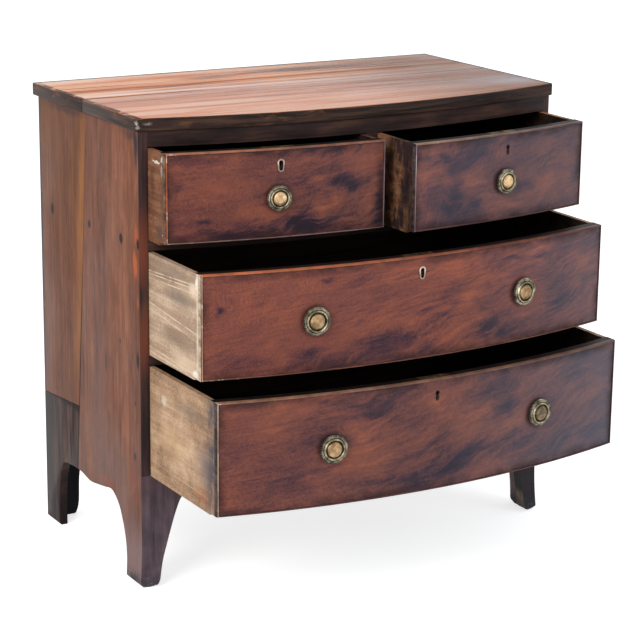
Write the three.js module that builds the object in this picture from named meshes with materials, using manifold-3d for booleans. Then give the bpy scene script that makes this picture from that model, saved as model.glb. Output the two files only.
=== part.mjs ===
// Bow-front chest of drawers: two short drawers over two long ones, on splayed bracket feet.
// Sizes are millimetres. X runs to the right, Y to the back and Z up from the floor.
// The carcass is drawn with Y at zero on the front corners of its sides. The drawers stand partly open.
import * as THREE from "three";
import { mergeVertices } from "three/addons/utils/BufferGeometryUtils.js";
import Module from "manifold-3d";

const wasm = await Module();
wasm.setup();

// Carcass
const CASE_WIDTH = 860;
const CASE_DEPTH = 422;
const BOW_RISE = 59;
const SIDE_THICKNESS = 16;
const TOP_THICKNESS = 23;
const TOP_SIDE_OVERHANG = 5;
const TOP_FRONT_OVERHANG = 4;
const TOP_REAR_OVERHANG = 15;
const TOP_REAR_BOARD_WIDTH = 222;
const PLINTH_HEIGHT = 210;
const LOWER_OPENING_HEIGHT = 204;
const UPPER_OPENING_HEIGHT = 187;
const SHORT_OPENING_HEIGHT = 163;
const BLADE_THICKNESS = 18;
const BLADE_REAR_Y = 40;
const DUSTBOARD_THICKNESS = 10;
const BOTTOM_BOARD_THICKNESS = 16;
const BACKBOARD_THICKNESS = 9;
const BACK_REBATE_WIDTH = 8;
const HOUSING_DEPTH = 6;
const HOUSING_START_Y = 26;
const TOP_RAIL_HEIGHT = 27;
const RAIL_THICKNESS = 26;
const KICKER_WIDTH = 24;
const MUNTIN_THICKNESS = 23;
const MUNTIN_REAR_Y = 12;
const MUNTIN_TENON_LENGTH = 8;
const MUNTIN_TENON_SETBACK = 6;
const MUNTIN_TENON_DEPTH = 14;
const MUNTIN_SHOULDER = 3;
const GUIDE_HEIGHT = 20;
const STOP_PLACE_SHARE = 0.3;
const STOP_WIDTH = 40;
const STOP_DEPTH = 14;
const STOP_HEIGHT = 6;

// Left side's joints: a leaning joint between two boards, and a spliced piece at the rear foot
const SIDE_REAR_BOARD_TOP_WIDTH = 214;
const SIDE_REAR_BOARD_FLOOR_WIDTH = 136;
const SPLICE_REAR_Z = 256;
const SPLICE_JOINT_Z = 269;

// Feet and the shaped lower edges
const APRON_THICKNESS = 22;
const FRONT_FOOT_WIDTH = 28;
const SIDE_FRONT_FOOT_WIDTH = 56;
const SIDE_REAR_FOOT_WIDTH = 60;
const SIDE_ARCH_HEIGHT = 145;
const FOOT_SPLAY = 5;
const SPLAY_HEIGHT = 100;
const REAR_BRACKET_THICKNESS = 16;
const REAR_BRACKET_FLOOR_WIDTH = 36;
const REAR_BRACKET_TOP_WIDTH = 110;
const FOOT_BLOCK_WIDTH = 22;
const FOOT_BLOCK_DEPTH = 38;
const FOOT_BLOCK_HEIGHT = 132;

// Drawers
const FRONT_THICKNESS = 24;
const DRAWER_SIDE_THICKNESS = 9;
const DRAWER_BACK_THICKNESS = 8;
const DRAWER_BOTTOM_THICKNESS = 6;
const DRAWER_BOTTOM_RAISE = 10;
const DRAWER_REAR_ROOM = 10;
const SIDE_TOP_DROP = 1;
const BACK_TOP_DROP = 6;
const GROOVE_DEPTH = 4;
const BEAD_WIDTH = 3.2;
const BEAD_PROUD = 2;
const BEAD_DEPTH = 8;
const FRONT_LAP = 11;
const TAIL_SLOPE_SHARE = 0.16;
const TAIL_WIDTH_SHARE = 0.84;
const SHORT_TAIL_COUNT = 3;
const LONG_TAIL_COUNT = 4;
const SHORT_LEFT_OPEN = 65;
const SHORT_RIGHT_OPEN = 123;
const UPPER_LONG_OPEN = 192;
const LOWER_LONG_OPEN = 248;

// Knobs, keyholes and locks
const SHORT_KNOB_RADIUS = 23;
const LONG_KNOB_RADIUS = 25.5;
const KNOB_PROJECTION = 14.5;
const KNOB_SPACING = 426;
const SHORT_LEFT_KNOB_SHIFT = -5;
const UPPER_LONG_KNOB_SHIFT = -3;
const SHORT_KNOB_DROP = 7.5;
const UPPER_LONG_KNOB_DROP = 0.5;
const LOWER_LONG_KNOB_DROP = -2.5;
const SPINDLE_RADIUS = 3;
const SPINDLE_TAIL = 9;
const KEYHOLE_DROP = 25;
const KEYHOLE_RADIUS = 2.8;
const KEYHOLE_SLOT_WIDTH = 3;
const KEYHOLE_FOOT_WIDTH = 4.4;
const KEYHOLE_LENGTH = 15.5;
const ESCUTCHEON_BORDER = 3.7;
const ESCUTCHEON_THICKNESS = 3;
const ESCUTCHEON_PROUD = 0.4;
const LONG_LOCK_X = -12;
const SHORT_RIGHT_LOCK_SHIFT = 6.5;
const LOCK_WIDTH = 60;
const LOCK_HEIGHT = 40;
const LOCK_THICKNESS = 10;
const SELVEDGE_SETBACK = 2;
const SELVEDGE_THICKNESS = 2;
const BOLT_WIDTH = 13;
const BOLT_THICKNESS = 4;
const BOLT_HEIGHT = 23;
const BOLT_TRAVEL = 8;
const BOLT_SINK = 1;
const LOCK_WALL = 3;
const LOCK_PIN_RADIUS = 1;
const TALON_WIDTH = 5;
const TALON_HEIGHT = 4;
const MORTISE_ROOM = 2;

// Clearances
const GLUE_GAP = 0.2;
const SEAT_GAP = 0.3;
const RUN_GAP = 0.3;
const SLIDE_GAP = 1;
const BOLT_GAP = 0.4;
const FRONT_TOP_GAP = 1.5;
const FRONT_BOTTOM_GAP = 3;
const SHORT_FRONT_BOTTOM_GAP = 5.5;
const OVERRUN = 5;

// Facets
const BOW_FACETS = 20;
const SPLAY_FACETS = 5;
const CURVE_FACETS = 3;
const KNOB_FACETS = 16;
const SPINDLE_FACETS = 10;
const ESCUTCHEON_FACETS = 24;
const NOSE_FACETS = 3;
const LOCK_PIN_FACETS = 8;

// Outline of the side's lower edge: shares of the span between the feet and of the arch height
const SIDE_ARCH_SHARES = [
  [0, 0],
  [0.012, 0.3],
  [0.046, 0.57],
  [0.1, 0.81],
  [0.16, 0.95],
  [0.23, 1.02],
  [0.32, 0.99],
  [0.44, 0.95],
  [0.53, 0.93],
  [0.62, 0.96],
  [0.7, 0.98],
  [0.83, 0.965],
  [0.91, 0.94],
  [0.945, 0.87],
  [0.98, 0.67],
  [1, 0.38],
  [1, 0],
];

// Outline of half the apron's lower edge: shares of the half span between the feet and of the plinth height
const APRON_EDGE_SHARES = [
  [1, 0],
  [0.982, 0.22],
  [0.961, 0.38],
  [0.942, 0.52],
  [0.92, 0.67],
  [0.897, 0.785],
  [0.865, 0.85],
  [0.81, 0.88],
  [0.7, 0.885],
  [0.5, 0.86],
  [0.3, 0.82],
  [0.14, 0.8],
];

// Outline of a rear bracket's inner edge: shares of its widening and of its height
const REAR_BRACKET_SHARES = [
  [0, 0],
  [0.1, 0.12],
  [0.13, 0.4],
  [0.24, 0.62],
  [0.52, 0.8],
  [1, 1],
];

// Section of a knob outside the drawer: shares of its radius and of its projection
const KNOB_PROFILE_SHARES = [
  [0.46, 0],
  [0.46, 0.1],
  [0.4, 0.16],
  [0.5, 0.2],
  [0.9, 0.22],
  [1, 0.3],
  [1, 0.62],
  [0.96, 0.7],
  [0.82, 0.72],
  [0.78, 0.64],
  [0.74, 0.76],
  [0.68, 0.82],
  [0.62, 0.78],
  [0.6, 0.62],
  [0.54, 0.62],
  [0.51, 0.8],
  [0.33, 0.95],
  [0, 1],
];

// Levels, from the floor up
const lowerFloor = PLINTH_HEIGHT;
const lowerBladeBottom = lowerFloor + LOWER_OPENING_HEIGHT;
const upperFloor = lowerBladeBottom + BLADE_THICKNESS;
const upperBladeBottom = upperFloor + UPPER_OPENING_HEIGHT;
const shortFloor = upperBladeBottom + BLADE_THICKNESS;
const railBottom = shortFloor + SHORT_OPENING_HEIGHT;
const topUnderside = railBottom + TOP_RAIL_HEIGHT;
const overallHeight = topUnderside + TOP_THICKNESS;
const bottomBoardUnderside = PLINTH_HEIGHT - BOTTOM_BOARD_THICKNESS;

// Places across and along the carcass
const halfWidth = CASE_WIDTH / 2;
const innerHalf = halfWidth - SIDE_THICKNESS;
const shelfRearY = CASE_DEPTH - BACKBOARD_THICKNESS - GLUE_GAP;
const bowRadius = (halfWidth ** 2 + BOW_RISE ** 2) / (2 * BOW_RISE);
const bowPitch = CASE_WIDTH / BOW_FACETS;
const drawerRearY = CASE_DEPTH - BACKBOARD_THICKNESS - DRAWER_REAR_ROOM;
const halfFeetSpan = halfWidth - FRONT_FOOT_WIDTH;

// The bow of the front in plan: zero at the case's corners, lowest in the middle. It is an arc in facets,
// and all that follows it shares them.
function bowY(x) {
  const arcY = (place) => bowRadius - BOW_RISE - Math.sqrt(bowRadius ** 2 - place ** 2);
  const before = Math.floor(x / bowPitch) * bowPitch;
  const share = (x - before) / bowPitch;
  return arcY(before) * (1 - share) + arcY(before + bowPitch) * share;
}

// How far the bow has turned from the X axis at x.
function bowAngle(x) {
  return Math.asin(x / bowRadius);
}

// How far the foot flares out at a height.
function splayAt(z) {
  return FOOT_SPLAY * Math.max(0, 1 - z / SPLAY_HEIGHT) ** 2;
}

const woods = {
  top: new THREE.MeshStandardMaterial({ color: 0x8a4a26, roughness: 0.3, metalness: 0 }),
  front: new THREE.MeshStandardMaterial({ color: 0x6e322a, roughness: 0.4, metalness: 0 }),
  bead: new THREE.MeshStandardMaterial({ color: 0x8c5236, roughness: 0.4, metalness: 0 }),
  side: new THREE.MeshStandardMaterial({ color: 0x7a5638, roughness: 0.45, metalness: 0 }),
  splice: new THREE.MeshStandardMaterial({ color: 0x4e3526, roughness: 0.5, metalness: 0 }),
  rail: new THREE.MeshStandardMaterial({ color: 0x3f2a26, roughness: 0.45, metalness: 0 }),
  lining: new THREE.MeshStandardMaterial({ color: 0x7d6046, roughness: 0.7, metalness: 0 }),
  carcass: new THREE.MeshStandardMaterial({ color: 0x4a3526, roughness: 0.8, metalness: 0 }),
};
const brass = new THREE.MeshStandardMaterial({ color: 0xa88f5c, roughness: 0.4, metalness: 1 });
const iron = new THREE.MeshStandardMaterial({ color: 0x55504a, roughness: 0.5, metalness: 1 });

// Turns a closed geometry into a solid that can be joined and cut.
function solid(geometry) {
  const bare = geometry.clone();
  bare.deleteAttribute("normal");
  bare.deleteAttribute("uv");
  const merged = mergeVertices(bare);
  return new wasm.Manifold(
    new wasm.Mesh({
      numProp: 3,
      vertProperties: merged.attributes.position.array,
      triVerts: new Uint32Array(merged.index.array),
    }),
  );
}

function joined(first, ...others) {
  return others.reduce((body, other) => body.add(other), first);
}

function cut(first, ...others) {
  return others.reduce((body, other) => body.subtract(other), first);
}

// Adds a solid to a group as a named mesh.
function addPiece(group, name, body, material) {
  const result = body.getMesh();
  const geometry = new THREE.BufferGeometry();
  geometry.setAttribute("position", new THREE.BufferAttribute(result.vertProperties, 3));
  geometry.setIndex(new THREE.BufferAttribute(result.triVerts, 1));
  geometry.computeVertexNormals();
  const mesh = new THREE.Mesh(geometry, material);
  mesh.name = name;
  group.add(mesh);
  return mesh;
}

// A block between two corners, turned and placed by a matrix when one is given.
function block(x0, x1, y0, y1, z0, z1, matrix) {
  const geometry = new THREE.BoxGeometry(x1 - x0, y1 - y0, z1 - z0);
  geometry.translate((x0 + x1) / 2, (y0 + y1) / 2, (z0 + z1) / 2);
  if (matrix) {
    geometry.applyMatrix4(matrix);
  }
  return solid(geometry);
}

// An outline in X and Z, extruded along Y.
function prismAlongY(shape, y0, y1, matrix) {
  const geometry = new THREE.ExtrudeGeometry(shape, {
    depth: y1 - y0,
    bevelEnabled: false,
    curveSegments: CURVE_FACETS,
  });
  const axes = new THREE.Matrix4().makeBasis(
    new THREE.Vector3(1, 0, 0),
    new THREE.Vector3(0, 0, 1),
    new THREE.Vector3(0, -1, 0),
  );
  geometry.applyMatrix4(axes);
  geometry.translate(0, y1, 0);
  if (matrix) {
    geometry.applyMatrix4(matrix);
  }
  return solid(geometry);
}

// An outline in Y and Z, extruded along X.
function prismAlongX(shape, x0, x1) {
  const geometry = new THREE.ExtrudeGeometry(shape, {
    depth: x1 - x0,
    bevelEnabled: false,
    curveSegments: CURVE_FACETS,
  });
  const axes = new THREE.Matrix4().makeBasis(
    new THREE.Vector3(0, 1, 0),
    new THREE.Vector3(0, 0, 1),
    new THREE.Vector3(1, 0, 0),
  );
  geometry.applyMatrix4(axes);
  geometry.translate(x0, 0, 0);
  return solid(geometry);
}

// An outline in X and Y, extruded along Z.
function prismAlongZ(shape, z0, z1) {
  const geometry = new THREE.ExtrudeGeometry(shape, { depth: z1 - z0, bevelEnabled: false });
  geometry.translate(0, 0, z0);
  return solid(geometry);
}

function polygon(points) {
  return new THREE.Shape(points.map(([a, b]) => new THREE.Vector2(a, b)));
}

// A closed body between two faces over one grid. Seen from the near face's side, u runs right and v up.
function gridBody(us, vs, near, far) {
  const columns = us.length;
  const rows = vs.length;
  const sheet = columns * rows;
  const positions = [];
  for (const face of [near, far]) {
    for (const v of vs) {
      for (const u of us) {
        positions.push(...face(u, v));
      }
    }
  }
  const index = [];
  const quad = (a, b, c, d) => index.push(a, b, c, a, c, d);
  for (let row = 0; row < rows - 1; row++) {
    for (let column = 0; column < columns - 1; column++) {
      const a = row * columns + column;
      const b = sheet + a;
      quad(a, a + 1, a + columns + 1, a + columns);
      quad(b, b + columns, b + columns + 1, b + 1);
    }
  }
  for (let column = 0; column < columns - 1; column++) {
    const top = (rows - 1) * columns + column;
    quad(column + 1, column, sheet + column, sheet + column + 1);
    quad(top, top + 1, sheet + top + 1, sheet + top);
  }
  for (let row = 0; row < rows - 1; row++) {
    const left = row * columns;
    const right = left + columns - 1;
    quad(left, left + columns, sheet + left + columns, sheet + left);
    quad(right + columns, right, sheet + right, sheet + right + columns);
  }
  const geometry = new THREE.BufferGeometry();
  geometry.setAttribute("position", new THREE.Float32BufferAttribute(positions, 3));
  geometry.setIndex(index);
  return solid(geometry);
}

// The X places of the bow's facets between two ends, on one spacing for the whole chest.
function bowStations(x0, x1) {
  const places = [x0];
  for (let k = Math.floor(x0 / bowPitch) + 1; k * bowPitch < x1; k++) {
    if (k * bowPitch - x0 > SEAT_GAP && x1 - k * bowPitch > SEAT_GAP) {
      places.push(k * bowPitch);
    }
  }
  places.push(x1);
  return places;
}

// A board whose front follows the bow at a distance behind it, and whose rear does too or is straight.
function bowBoard(x0, x1, z0, z1, setback, rear) {
  const rearY = typeof rear === "function" ? rear : () => rear;
  return gridBody(
    bowStations(x0, x1),
    [z0, z1],
    (x, z) => [x, bowY(x) + setback, z],
    (x, z) => [x, rearY(x), z],
  );
}

function behindBow(distance) {
  return (x) => bowY(x) + distance;
}

// The heights at which a splayed face bends.
function splayLevels(top) {
  const levels = [];
  for (let k = 0; k <= SPLAY_FACETS; k++) {
    levels.push((SPLAY_HEIGHT * k) / SPLAY_FACETS);
  }
  levels.push(top);
  return levels;
}

// The matrix that carries a fitting's own frame to its place on the bow: X along the front, Y into the wood.
function onBow(x, z) {
  return new THREE.Matrix4().makeRotationZ(bowAngle(x)).setPosition(x, bowY(x), z);
}

// The region on one side of the mitre at a front corner, below the drawers. Side is -1 on the left and
// 1 on the right, the depth is positive towards the front, and the shift moves the mitre forward.
function mitreRegion(side, shift, depth) {
  const turn = bowAngle(halfWidth);
  const along = new THREE.Vector2(-side * Math.cos(turn), 1 - Math.sin(turn)).normalize();
  const forward = new THREE.Vector2(-side * along.y, side * along.x);
  const reach = 2 * PLINTH_HEIGHT;
  const corner = new THREE.Vector2(side * halfWidth, 0).addScaledVector(forward, shift);
  const at = (run, step) => corner.clone().addScaledVector(along, run).addScaledVector(forward, step);
  const outline = new THREE.Shape([at(-reach, 0), at(reach, 0), at(reach, depth), at(-reach, depth)]);
  return prismAlongZ(outline, -OVERRUN, PLINTH_HEIGHT);
}

// Everything behind the carcass's front surface, with the splay of the feet.
function carcassEnvelope() {
  const reach = halfWidth + FOOT_SPLAY + SIDE_THICKNESS;
  return gridBody(
    bowStations(-reach, reach),
    splayLevels(topUnderside),
    (x, z) => [x, bowY(x) - splayAt(z), z],
    (x, z) => [x, CASE_DEPTH, z],
  );
}

// The side seen from its end: the front foot, the shaped lower edge and the rear foot.
function sideOutline() {
  const span = CASE_DEPTH - SIDE_FRONT_FOOT_WIDTH - SIDE_REAR_FOOT_WIDTH;
  const points = SIDE_ARCH_SHARES.map(
    ([along, up]) => new THREE.Vector2(SIDE_FRONT_FOOT_WIDTH + along * span, up * SIDE_ARCH_HEIGHT),
  );
  const outline = new THREE.Shape();
  outline.moveTo(-BOW_RISE, 0);
  outline.lineTo(points[0].x, points[0].y);
  outline.splineThru(points.slice(1));
  outline.lineTo(CASE_DEPTH, 0);
  outline.lineTo(CASE_DEPTH, topUnderside);
  outline.lineTo(-BOW_RISE, topUnderside);
  return outline;
}

// A block cut into a side's inner face to a depth.
function sideHousing(side, depth, y0, y1, z0, z1) {
  const mouth = side * (innerHalf - OVERRUN);
  const floor = side * (innerHalf + depth);
  return block(Math.min(mouth, floor), Math.max(mouth, floor), y0, y1, z0, z1);
}

// One whole side, with its mitred front foot, its housings for the shelves and its rebate for the back.
function sideBody(side) {
  const archMiddleY = (SIDE_FRONT_FOOT_WIDTH + CASE_DEPTH - SIDE_REAR_FOOT_WIDTH) / 2;
  const inner = (y, z) => [side * innerHalf, y, z];
  const outer = (y, z) => [side * (halfWidth + (y > archMiddleY ? 0 : splayAt(z))), y, z];
  const blank = gridBody(
    [-BOW_RISE, archMiddleY, archMiddleY + OVERRUN, CASE_DEPTH],
    splayLevels(topUnderside),
    side < 0 ? inner : outer,
    side < 0 ? outer : inner,
  );
  const shelfHousing = (topZ, thickness) =>
    sideHousing(
      side,
      HOUSING_DEPTH,
      HOUSING_START_Y - GLUE_GAP,
      CASE_DEPTH - BACKBOARD_THICKNESS,
      topZ - thickness - GLUE_GAP,
      topZ + GLUE_GAP,
    );
  const rebate = sideHousing(
    side,
    BACK_REBATE_WIDTH,
    CASE_DEPTH - BACKBOARD_THICKNESS - GLUE_GAP,
    CASE_DEPTH + OVERRUN,
    bottomBoardUnderside - GLUE_GAP,
    topUnderside + OVERRUN,
  );
  const reach = halfWidth + FOOT_SPLAY + OVERRUN;
  const shaped = blank.intersect(prismAlongX(sideOutline(), -reach, reach)).intersect(carcassEnvelope());
  return cut(
    shaped,
    mitreRegion(side, 0, PLINTH_HEIGHT),
    shelfHousing(shortFloor, DUSTBOARD_THICKNESS),
    shelfHousing(upperFloor, DUSTBOARD_THICKNESS),
    shelfHousing(lowerFloor, BOTTOM_BOARD_THICKNESS),
    rebate,
  );
}

// The leaning joint in the left side.
function sideJointY(z) {
  const widening = SIDE_REAR_BOARD_TOP_WIDTH - SIDE_REAR_BOARD_FLOOR_WIDTH;
  return CASE_DEPTH - SIDE_REAR_BOARD_FLOOR_WIDTH - (widening * z) / topUnderside;
}

// The left side is two boards, with a spliced piece under the rear one.
function addLeftSide(group) {
  const whole = sideBody(-1);
  const topZ = topUnderside + OVERRUN;
  const rearY = CASE_DEPTH + OVERRUN;
  const region = (points) => prismAlongX(polygon(points), -halfWidth - SIDE_THICKNESS, 0);
  const frontBoard = region([
    [-2 * BOW_RISE, -OVERRUN],
    [sideJointY(-OVERRUN), -OVERRUN],
    [sideJointY(topZ), topZ],
    [-2 * BOW_RISE, topZ],
  ]);
  const spliceFrontY = sideJointY(SPLICE_JOINT_Z) + GLUE_GAP;
  const rearBoard = region([
    [spliceFrontY, SPLICE_JOINT_Z],
    [rearY, SPLICE_REAR_Z],
    [rearY, topZ],
    [sideJointY(topZ) + GLUE_GAP, topZ],
  ]);
  const splice = region([
    [sideJointY(-OVERRUN) + GLUE_GAP, -OVERRUN],
    [rearY, -OVERRUN],
    [rearY, SPLICE_REAR_Z - GLUE_GAP],
    [spliceFrontY, SPLICE_JOINT_Z - GLUE_GAP],
  ]);
  addPiece(group, "left_side_front_board", whole.intersect(frontBoard), woods.side);
  addPiece(group, "left_side_rear_board", whole.intersect(rearBoard), woods.side);
  addPiece(group, "left_side_rear_splice", whole.intersect(splice), woods.splice);
}

// The top is two boards, edge to edge, and the front one is bowed.
function addTop(group) {
  const half = halfWidth + TOP_SIDE_OVERHANG;
  const rearY = CASE_DEPTH + TOP_REAR_OVERHANG;
  const jointY = rearY - TOP_REAR_BOARD_WIDTH;
  const front = bowBoard(-half, half, topUnderside, overallHeight, -TOP_FRONT_OVERHANG, jointY);
  addPiece(group, "top_front_board", front, woods.top);
  const rear = block(-half, half, jointY, rearY, topUnderside, overallHeight);
  addPiece(group, "top_rear_board", rear, woods.top);
}

// A tongue at each end of a shelf, for the sides' housings.
function shelfTongues(y0, y1, topZ, thickness) {
  return [-1, 1].map((side) => {
    const root = side * (innerHalf - OVERRUN);
    const tip = side * (innerHalf + HOUSING_DEPTH - GLUE_GAP);
    return block(Math.min(root, tip), Math.max(root, tip), y0, y1, topZ - thickness, topZ);
  });
}

// Blocks that a closed drawer's front meets, two to a drawer.
function drawerStops(spec) {
  const middle = (spec.x0 + spec.x1) / 2;
  const offset = (spec.x1 - spec.x0) * STOP_PLACE_SHARE;
  return [middle - offset, middle + offset].map((x) => {
    const x0 = x - STOP_WIDTH / 2;
    const x1 = x + STOP_WIDTH / 2;
    const y0 = bowY(Math.max(Math.abs(x0), Math.abs(x1))) + FRONT_THICKNESS + SEAT_GAP;
    const y1 = y0 + STOP_DEPTH;
    return joined(
      block(x0, x1, y0, y1, spec.floor, spec.floor + STOP_HEIGHT),
      block(x0, x1, (y0 + y1) / 2, y1, spec.floor - STOP_HEIGHT, spec.floor + STOP_HEIGHT),
    );
  });
}

// The hole in a rail above a drawer that takes its lock's bolt.
function boltMortise(spec) {
  const y0 = FRONT_THICKNESS - LOCK_THICKNESS + LOCK_WALL;
  return block(
    -BOLT_WIDTH / 2 - MORTISE_ROOM,
    BOLT_WIDTH / 2 + MORTISE_ROOM,
    y0 - MORTISE_ROOM,
    y0 + BOLT_THICKNESS + 2 * BOLT_GAP + MORTISE_ROOM,
    -OVERRUN,
    BOLT_TRAVEL,
    onBow(spec.lockX, spec.floor + spec.opening),
  );
}

// The tenon on an end of the muntin, or the mortise for it when it is grown by a gap.
function muntinTenons(grow) {
  const half = MUNTIN_THICKNESS / 2 - MUNTIN_SHOULDER + grow;
  const y0 = bowY(0) + MUNTIN_TENON_SETBACK;
  return block(
    -half,
    half,
    y0 - grow,
    y0 + MUNTIN_TENON_DEPTH + grow,
    shortFloor - MUNTIN_TENON_LENGTH - grow,
    railBottom + MUNTIN_TENON_LENGTH + grow,
  );
}

// A rail between drawers, bowed at its front and straight behind, with its dustboard let in level with it.
function addBlade(group, name, floor, below, above, extraCuts) {
  const blade = joined(
    bowBoard(-innerHalf, innerHalf, floor - BLADE_THICKNESS, floor, 0, BLADE_REAR_Y),
    ...shelfTongues(HOUSING_START_Y, BLADE_REAR_Y, floor, DUSTBOARD_THICKNESS),
    ...above.flatMap(drawerStops),
  );
  addPiece(group, name + "_blade", cut(blade, ...below.map(boltMortise), ...extraCuts), woods.rail);
  const half = innerHalf + HOUSING_DEPTH - GLUE_GAP;
  const boardY = BLADE_REAR_Y + GLUE_GAP;
  const dustboard = block(-half, half, boardY, shelfRearY, floor - DUSTBOARD_THICKNESS, floor);
  addPiece(group, name + "_dustboard", dustboard, woods.carcass);
}

// The rail under the top, with the kickers that stop the short drawers from tipping.
function addTopFrame(group, shortDrawers) {
  const kicker = (x0, y0) =>
    block(x0, x0 + KICKER_WIDTH, y0 + RAIL_THICKNESS - OVERRUN, shelfRearY, railBottom, topUnderside);
  const frame = joined(
    bowBoard(-innerHalf, innerHalf, railBottom, topUnderside, 0, behindBow(RAIL_THICKNESS)),
    kicker(-innerHalf, bowY(innerHalf)),
    kicker(-KICKER_WIDTH / 2, bowY(0)),
    kicker(innerHalf - KICKER_WIDTH, bowY(innerHalf)),
  );
  const mortised = cut(frame, ...shortDrawers.map(boltMortise), muntinTenons(GLUE_GAP));
  addPiece(group, "top_rail_and_kickers", mortised, woods.rail);
}

// The upright between the short drawers, and the strip behind it that guides them.
function addMuntin(group) {
  const half = MUNTIN_THICKNESS / 2;
  const muntin = joined(
    block(-half, half, bowY(half), MUNTIN_REAR_Y, shortFloor, railBottom),
    muntinTenons(0),
  );
  addPiece(group, "muntin", muntin, woods.rail);
  const guideY = MUNTIN_REAR_Y + GLUE_GAP;
  const guide = block(-half, half, guideY, shelfRearY, shortFloor, shortFloor + GUIDE_HEIGHT);
  addPiece(group, "centre_guide", guide, woods.carcass);
}

// The board under the lowest drawer, let into the sides.
function addBottomBoard(group, drawer) {
  const board = joined(
    bowBoard(-innerHalf, innerHalf, bottomBoardUnderside, lowerFloor, APRON_THICKNESS + GLUE_GAP, shelfRearY),
    ...shelfTongues(HOUSING_START_Y, shelfRearY, lowerFloor, BOTTOM_BOARD_THICKNESS),
    ...drawerStops(drawer),
  );
  addPiece(group, "bottom_board", board, woods.carcass);
}

// The bowed apron and the two front feet, cut from one piece and mitred to the sides.
function addApron(group) {
  const reach = halfWidth + FOOT_SPLAY;
  const band = gridBody(
    bowStations(-reach, reach),
    splayLevels(PLINTH_HEIGHT),
    (x, z) => [x, bowY(x) - splayAt(z), z],
    (x, z) => [x, bowY(x) + APRON_THICKNESS, z],
  );
  const leftHalf = APRON_EDGE_SHARES.map(
    ([across, up]) => new THREE.Vector2(-across * halfFeetSpan, up * PLINTH_HEIGHT),
  );
  const rightHalf = leftHalf.map((point) => new THREE.Vector2(-point.x, point.y)).reverse();
  const outline = new THREE.Shape();
  outline.moveTo(-reach - OVERRUN, -OVERRUN);
  outline.lineTo(leftHalf[0].x, -OVERRUN);
  outline.lineTo(leftHalf[0].x, leftHalf[0].y);
  outline.splineThru([...leftHalf.slice(1), ...rightHalf]);
  outline.lineTo(-leftHalf[0].x, -OVERRUN);
  outline.lineTo(reach + OVERRUN, -OVERRUN);
  outline.lineTo(reach + OVERRUN, PLINTH_HEIGHT);
  outline.lineTo(-reach - OVERRUN, PLINTH_HEIGHT);
  const shaped = band.intersect(prismAlongY(outline, -2 * BOW_RISE, 2 * APRON_THICKNESS));
  const apron = cut(
    shaped,
    mitreRegion(-1, GLUE_GAP, -PLINTH_HEIGHT),
    mitreRegion(1, GLUE_GAP, -PLINTH_HEIGHT),
  );
  addPiece(group, "apron_with_front_feet", apron, woods.front);
}

// Shaped brackets across the back of the rear feet, and blocks inside the front ones.
function addFootBraces(group, side, word) {
  const at = (inward, up) => new THREE.Vector2(side * (innerHalf - GLUE_GAP - inward), up);
  const widening = REAR_BRACKET_TOP_WIDTH - REAR_BRACKET_FLOOR_WIDTH;
  const edge = REAR_BRACKET_SHARES.map(([out, up]) =>
    at(REAR_BRACKET_FLOOR_WIDTH + out * widening, up * bottomBoardUnderside),
  );
  const outline = new THREE.Shape();
  outline.moveTo(at(0, 0).x, 0);
  outline.lineTo(edge[0].x, edge[0].y);
  outline.splineThru(edge.slice(1));
  outline.lineTo(at(0, 0).x, bottomBoardUnderside);
  const bracket = prismAlongY(outline, CASE_DEPTH - REAR_BRACKET_THICKNESS, CASE_DEPTH);
  addPiece(group, "rear_" + word + "_foot_bracket", bracket, woods.carcass);
  const outerX = side * (innerHalf - GLUE_GAP);
  const innerX = side * (innerHalf - GLUE_GAP - FOOT_BLOCK_WIDTH);
  const footBlock = bowBoard(
    Math.min(outerX, innerX),
    Math.max(outerX, innerX),
    bottomBoardUnderside - FOOT_BLOCK_HEIGHT,
    bottomBoardUnderside,
    APRON_THICKNESS + GLUE_GAP,
    APRON_THICKNESS + FOOT_BLOCK_DEPTH,
  );
  addPiece(group, "front_" + word + "_foot_block", footBlock, woods.carcass);
}

function addBackboard(group) {
  const half = innerHalf + BACK_REBATE_WIDTH - GLUE_GAP;
  const y0 = CASE_DEPTH - BACKBOARD_THICKNESS;
  const board = block(-half, half, y0, CASE_DEPTH, bottomBoardUnderside, topUnderside);
  addPiece(group, "backboard", board, woods.carcass);
}

// A cockbead round a drawer front: a bead's section carried round the front's edge and mitred at its corners.
function beadFrame(x0, x1, z0, z1) {
  const stations = bowStations(x0, x1);
  const inner = stations.slice(1, -1);
  const path = [
    { x: x0, z: z0, inX: 1, inZ: 1 },
    ...inner.map((x) => ({ x, z: z0, inX: 0, inZ: 1 })),
    { x: x1, z: z0, inX: -1, inZ: 1 },
    { x: x1, z: z1, inX: -1, inZ: -1 },
    ...inner.toReversed().map((x) => ({ x, z: z1, inX: 0, inZ: -1 })),
    { x: x0, z: z1, inX: 1, inZ: -1 },
  ];
  const radius = BEAD_WIDTH / 2;
  const section = [[0, BEAD_DEPTH]];
  for (let k = 0; k <= NOSE_FACETS; k++) {
    const angle = (Math.PI * k) / NOSE_FACETS;
    section.push([radius - radius * Math.cos(angle), radius - BEAD_PROUD - radius * Math.sin(angle)]);
  }
  section.push([BEAD_WIDTH, BEAD_DEPTH]);
  const positions = [];
  for (const point of path) {
    for (const [inward, back] of section) {
      const x = point.x + point.inX * inward;
      positions.push(x, bowY(x) + back, point.z + point.inZ * inward);
    }
  }
  const index = [];
  const width = section.length;
  for (let i = 0; i < path.length; i++) {
    const next = (i + 1) % path.length;
    for (let j = 0; j < width; j++) {
      const k = (j + 1) % width;
      const [a, b, c, d] = [i * width + j, next * width + j, next * width + k, i * width + k];
      index.push(a, b, c, a, c, d);
    }
  }
  const geometry = new THREE.BufferGeometry();
  geometry.setAttribute("position", new THREE.Float32BufferAttribute(positions, 3));
  geometry.setIndex(index);
  return solid(geometry);
}

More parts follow.
